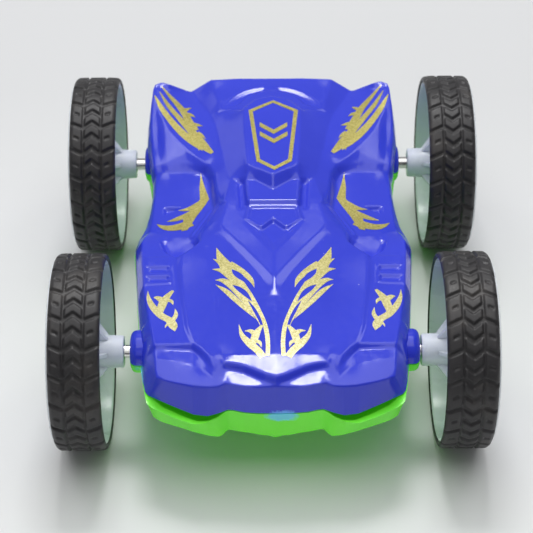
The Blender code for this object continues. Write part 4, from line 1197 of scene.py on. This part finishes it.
def add_wheel(end, hand):
    """Tyre and rim, placed by the boxes of the CAD pieces they replace."""
    wheel = "%s_%s" % (end, hand)
    tyre, rim = wheel + "_tyre", wheel + "_rim"
    low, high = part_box(tyre)
    side = 1.0 if low.x + high.x > 0 else -1.0
    inner_x = min(abs(low.x), abs(high.x)) / MM + TYRE_INSET
    place = (inner_x, side, (low.y + high.y) / 2 / MM, (low.z + high.z) / 2 / MM)
    body = end + "_wheelset"
    ob = add(wheel + "_tread", tyre_mesh(tyre + "_look", *place), RUBBER, body)
    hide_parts(tyre)
    low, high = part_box(rim)
    hub_reach = inner_x - min(abs(low.x), abs(high.x)) / MM
    ob = add(wheel + "_wheel_disc", rim_mesh(rim + "_look", *place, hub_reach), MILKY,
             body)
    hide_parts(rim)


for end in ("front", "rear"):
    for hand in ("left", "right"):
        add_wheel(end, hand)


# ---- Studio ----

CAR_CENTRE = (0.0, 0.0, 0.02)
# Area lights: name, location, point aimed at, (width, height), power in watts
SOFTBOXES = (
    ("overhead", (0.0, 0.406, 0.92), (0.0, -0.048, 0.03), (0.28, 0.22), 3.5),
    ("top_wide", (0.0, 0.0, 1.05), (0.0, 0.0, 0.0), (1.4, 1.2), 7.4),
    ("back_left", (-0.47, 0.52, 0.75), CAR_CENTRE, (0.26, 0.26), 0.50),
    ("back_right", (0.47, 0.52, 0.75), CAR_CENTRE, (0.26, 0.26), 0.42),
    ("low_left", (-0.17, 0.745, 0.64), CAR_CENTRE, (0.10, 0.07), 0.03),
    ("low_right", (0.17, 0.745, 0.64), CAR_CENTRE, (0.10, 0.07), 0.03),
    ("front_fill", (-0.25, -0.85, 0.60), CAR_CENTRE, (0.7, 0.5), 0.55),
    ("side_left", (-0.61, 0.74, 0.33), CAR_CENTRE, (0.30, 0.22), 0.10),
)
CAMERA_EYE = Vector((-0.003400, -0.308454, 0.275870))
CAMERA_AIM = Vector((-0.001668, -0.005908, 0.022))
CAMERA_ROLL = math.radians(-0.131)


def add_floor():
    """White floor with painted shade: a little darker towards the back."""
    material = bpy.data.materials.new("floor_white")
    shader = Shader(material)
    mottle = shader.spread(shader.noise(scale=3.0))
    y = shader.node("SeparateXYZ", {0: shader.place()})[1]
    # painted shade: the floor colour darkens towards the back
    shade = shader.mix(shader.spread(y, start=-0.13, end=0.10),
                       (0.85, 0.86, 0.86), (0.67, 0.675, 0.685))
    mottle = shader.calc("MULTIPLY", mottle, 0.05)
    shader.surface({"Base Color": shader.mix(mottle, shade, (0.5, 0.5, 0.5)),
                    "Roughness": 0.55, "Specular IOR Level": 0.2})
    mesh = new_mesh("floor", [(-3, -3, 0), (3, -3, 0), (3, 5, 0), (-3, 5, 0)],
                    [(0, 1, 2, 3)])
    ob = bpy.data.objects.new("floor", mesh)
    mesh.materials.append(material)
    bpy.context.scene.collection.objects.link(ob)


def add_sky():
    """Soft room light, brighter overhead and towards the back."""
    world = bpy.data.worlds.new("studio")
    shader = Shader(world, "Background")
    direction = shader.node("SeparateXYZ", {0: shader.place("Generated")})
    up = shader.spread(direction[2], start=0.0, end=0.9)
    rear = shader.spread(direction[1], low=0.35, start=-0.8, end=0.4)
    lit = shader.mix(up, (0.50, 0.52, 0.54), (1.0, 1.0, 1.0))
    shader.surface({"Color": shader.mix(rear, (0.10, 0.105, 0.11), lit),
                    "Strength": 0.36})
    bpy.context.scene.world = world


def add_softbox(name, location, aim, size, power):
    light = bpy.data.lights.new(name, "AREA")
    light.shape = "RECTANGLE"
    light.size, light.size_y = size
    light.energy = power
    ob = bpy.data.objects.new(name, light)
    ob.location = location
    ob.rotation_euler = (Vector(aim) - Vector(location)).to_track_quat("-Z", "Y").to_euler()
    bpy.context.scene.collection.objects.link(ob)


def add_camera():
    view = (CAMERA_AIM - CAMERA_EYE).normalized()
    right = view.cross(Vector((0, 0, 1))).normalized()
    top = right.cross(view)
    axis_x = right * math.cos(CAMERA_ROLL) + top * math.sin(CAMERA_ROLL)
    axis_y = top * math.cos(CAMERA_ROLL) - right * math.sin(CAMERA_ROLL)
    camera = bpy.data.cameras.new("camera")
    camera.sensor_width = 36.0
    camera.lens = 112.77
    camera.clip_start = 0.02
    camera.dof.use_dof = True
    camera.dof.focus_distance = 0.372
    camera.dof.aperture_fstop = 48.0
    ob = bpy.data.objects.new("camera", camera)
    turn = Matrix((axis_x, axis_y, -view)).transposed().to_4x4()
    ob.matrix_world = Matrix.Translation(CAMERA_EYE) @ turn
    bpy.context.scene.collection.objects.link(ob)
    bpy.context.scene.camera = ob


add_floor()
add_sky()
for softbox in SOFTBOXES:
    add_softbox(*softbox)
add_camera()
bpy.context.scene.view_settings.view_transform = "Standard"
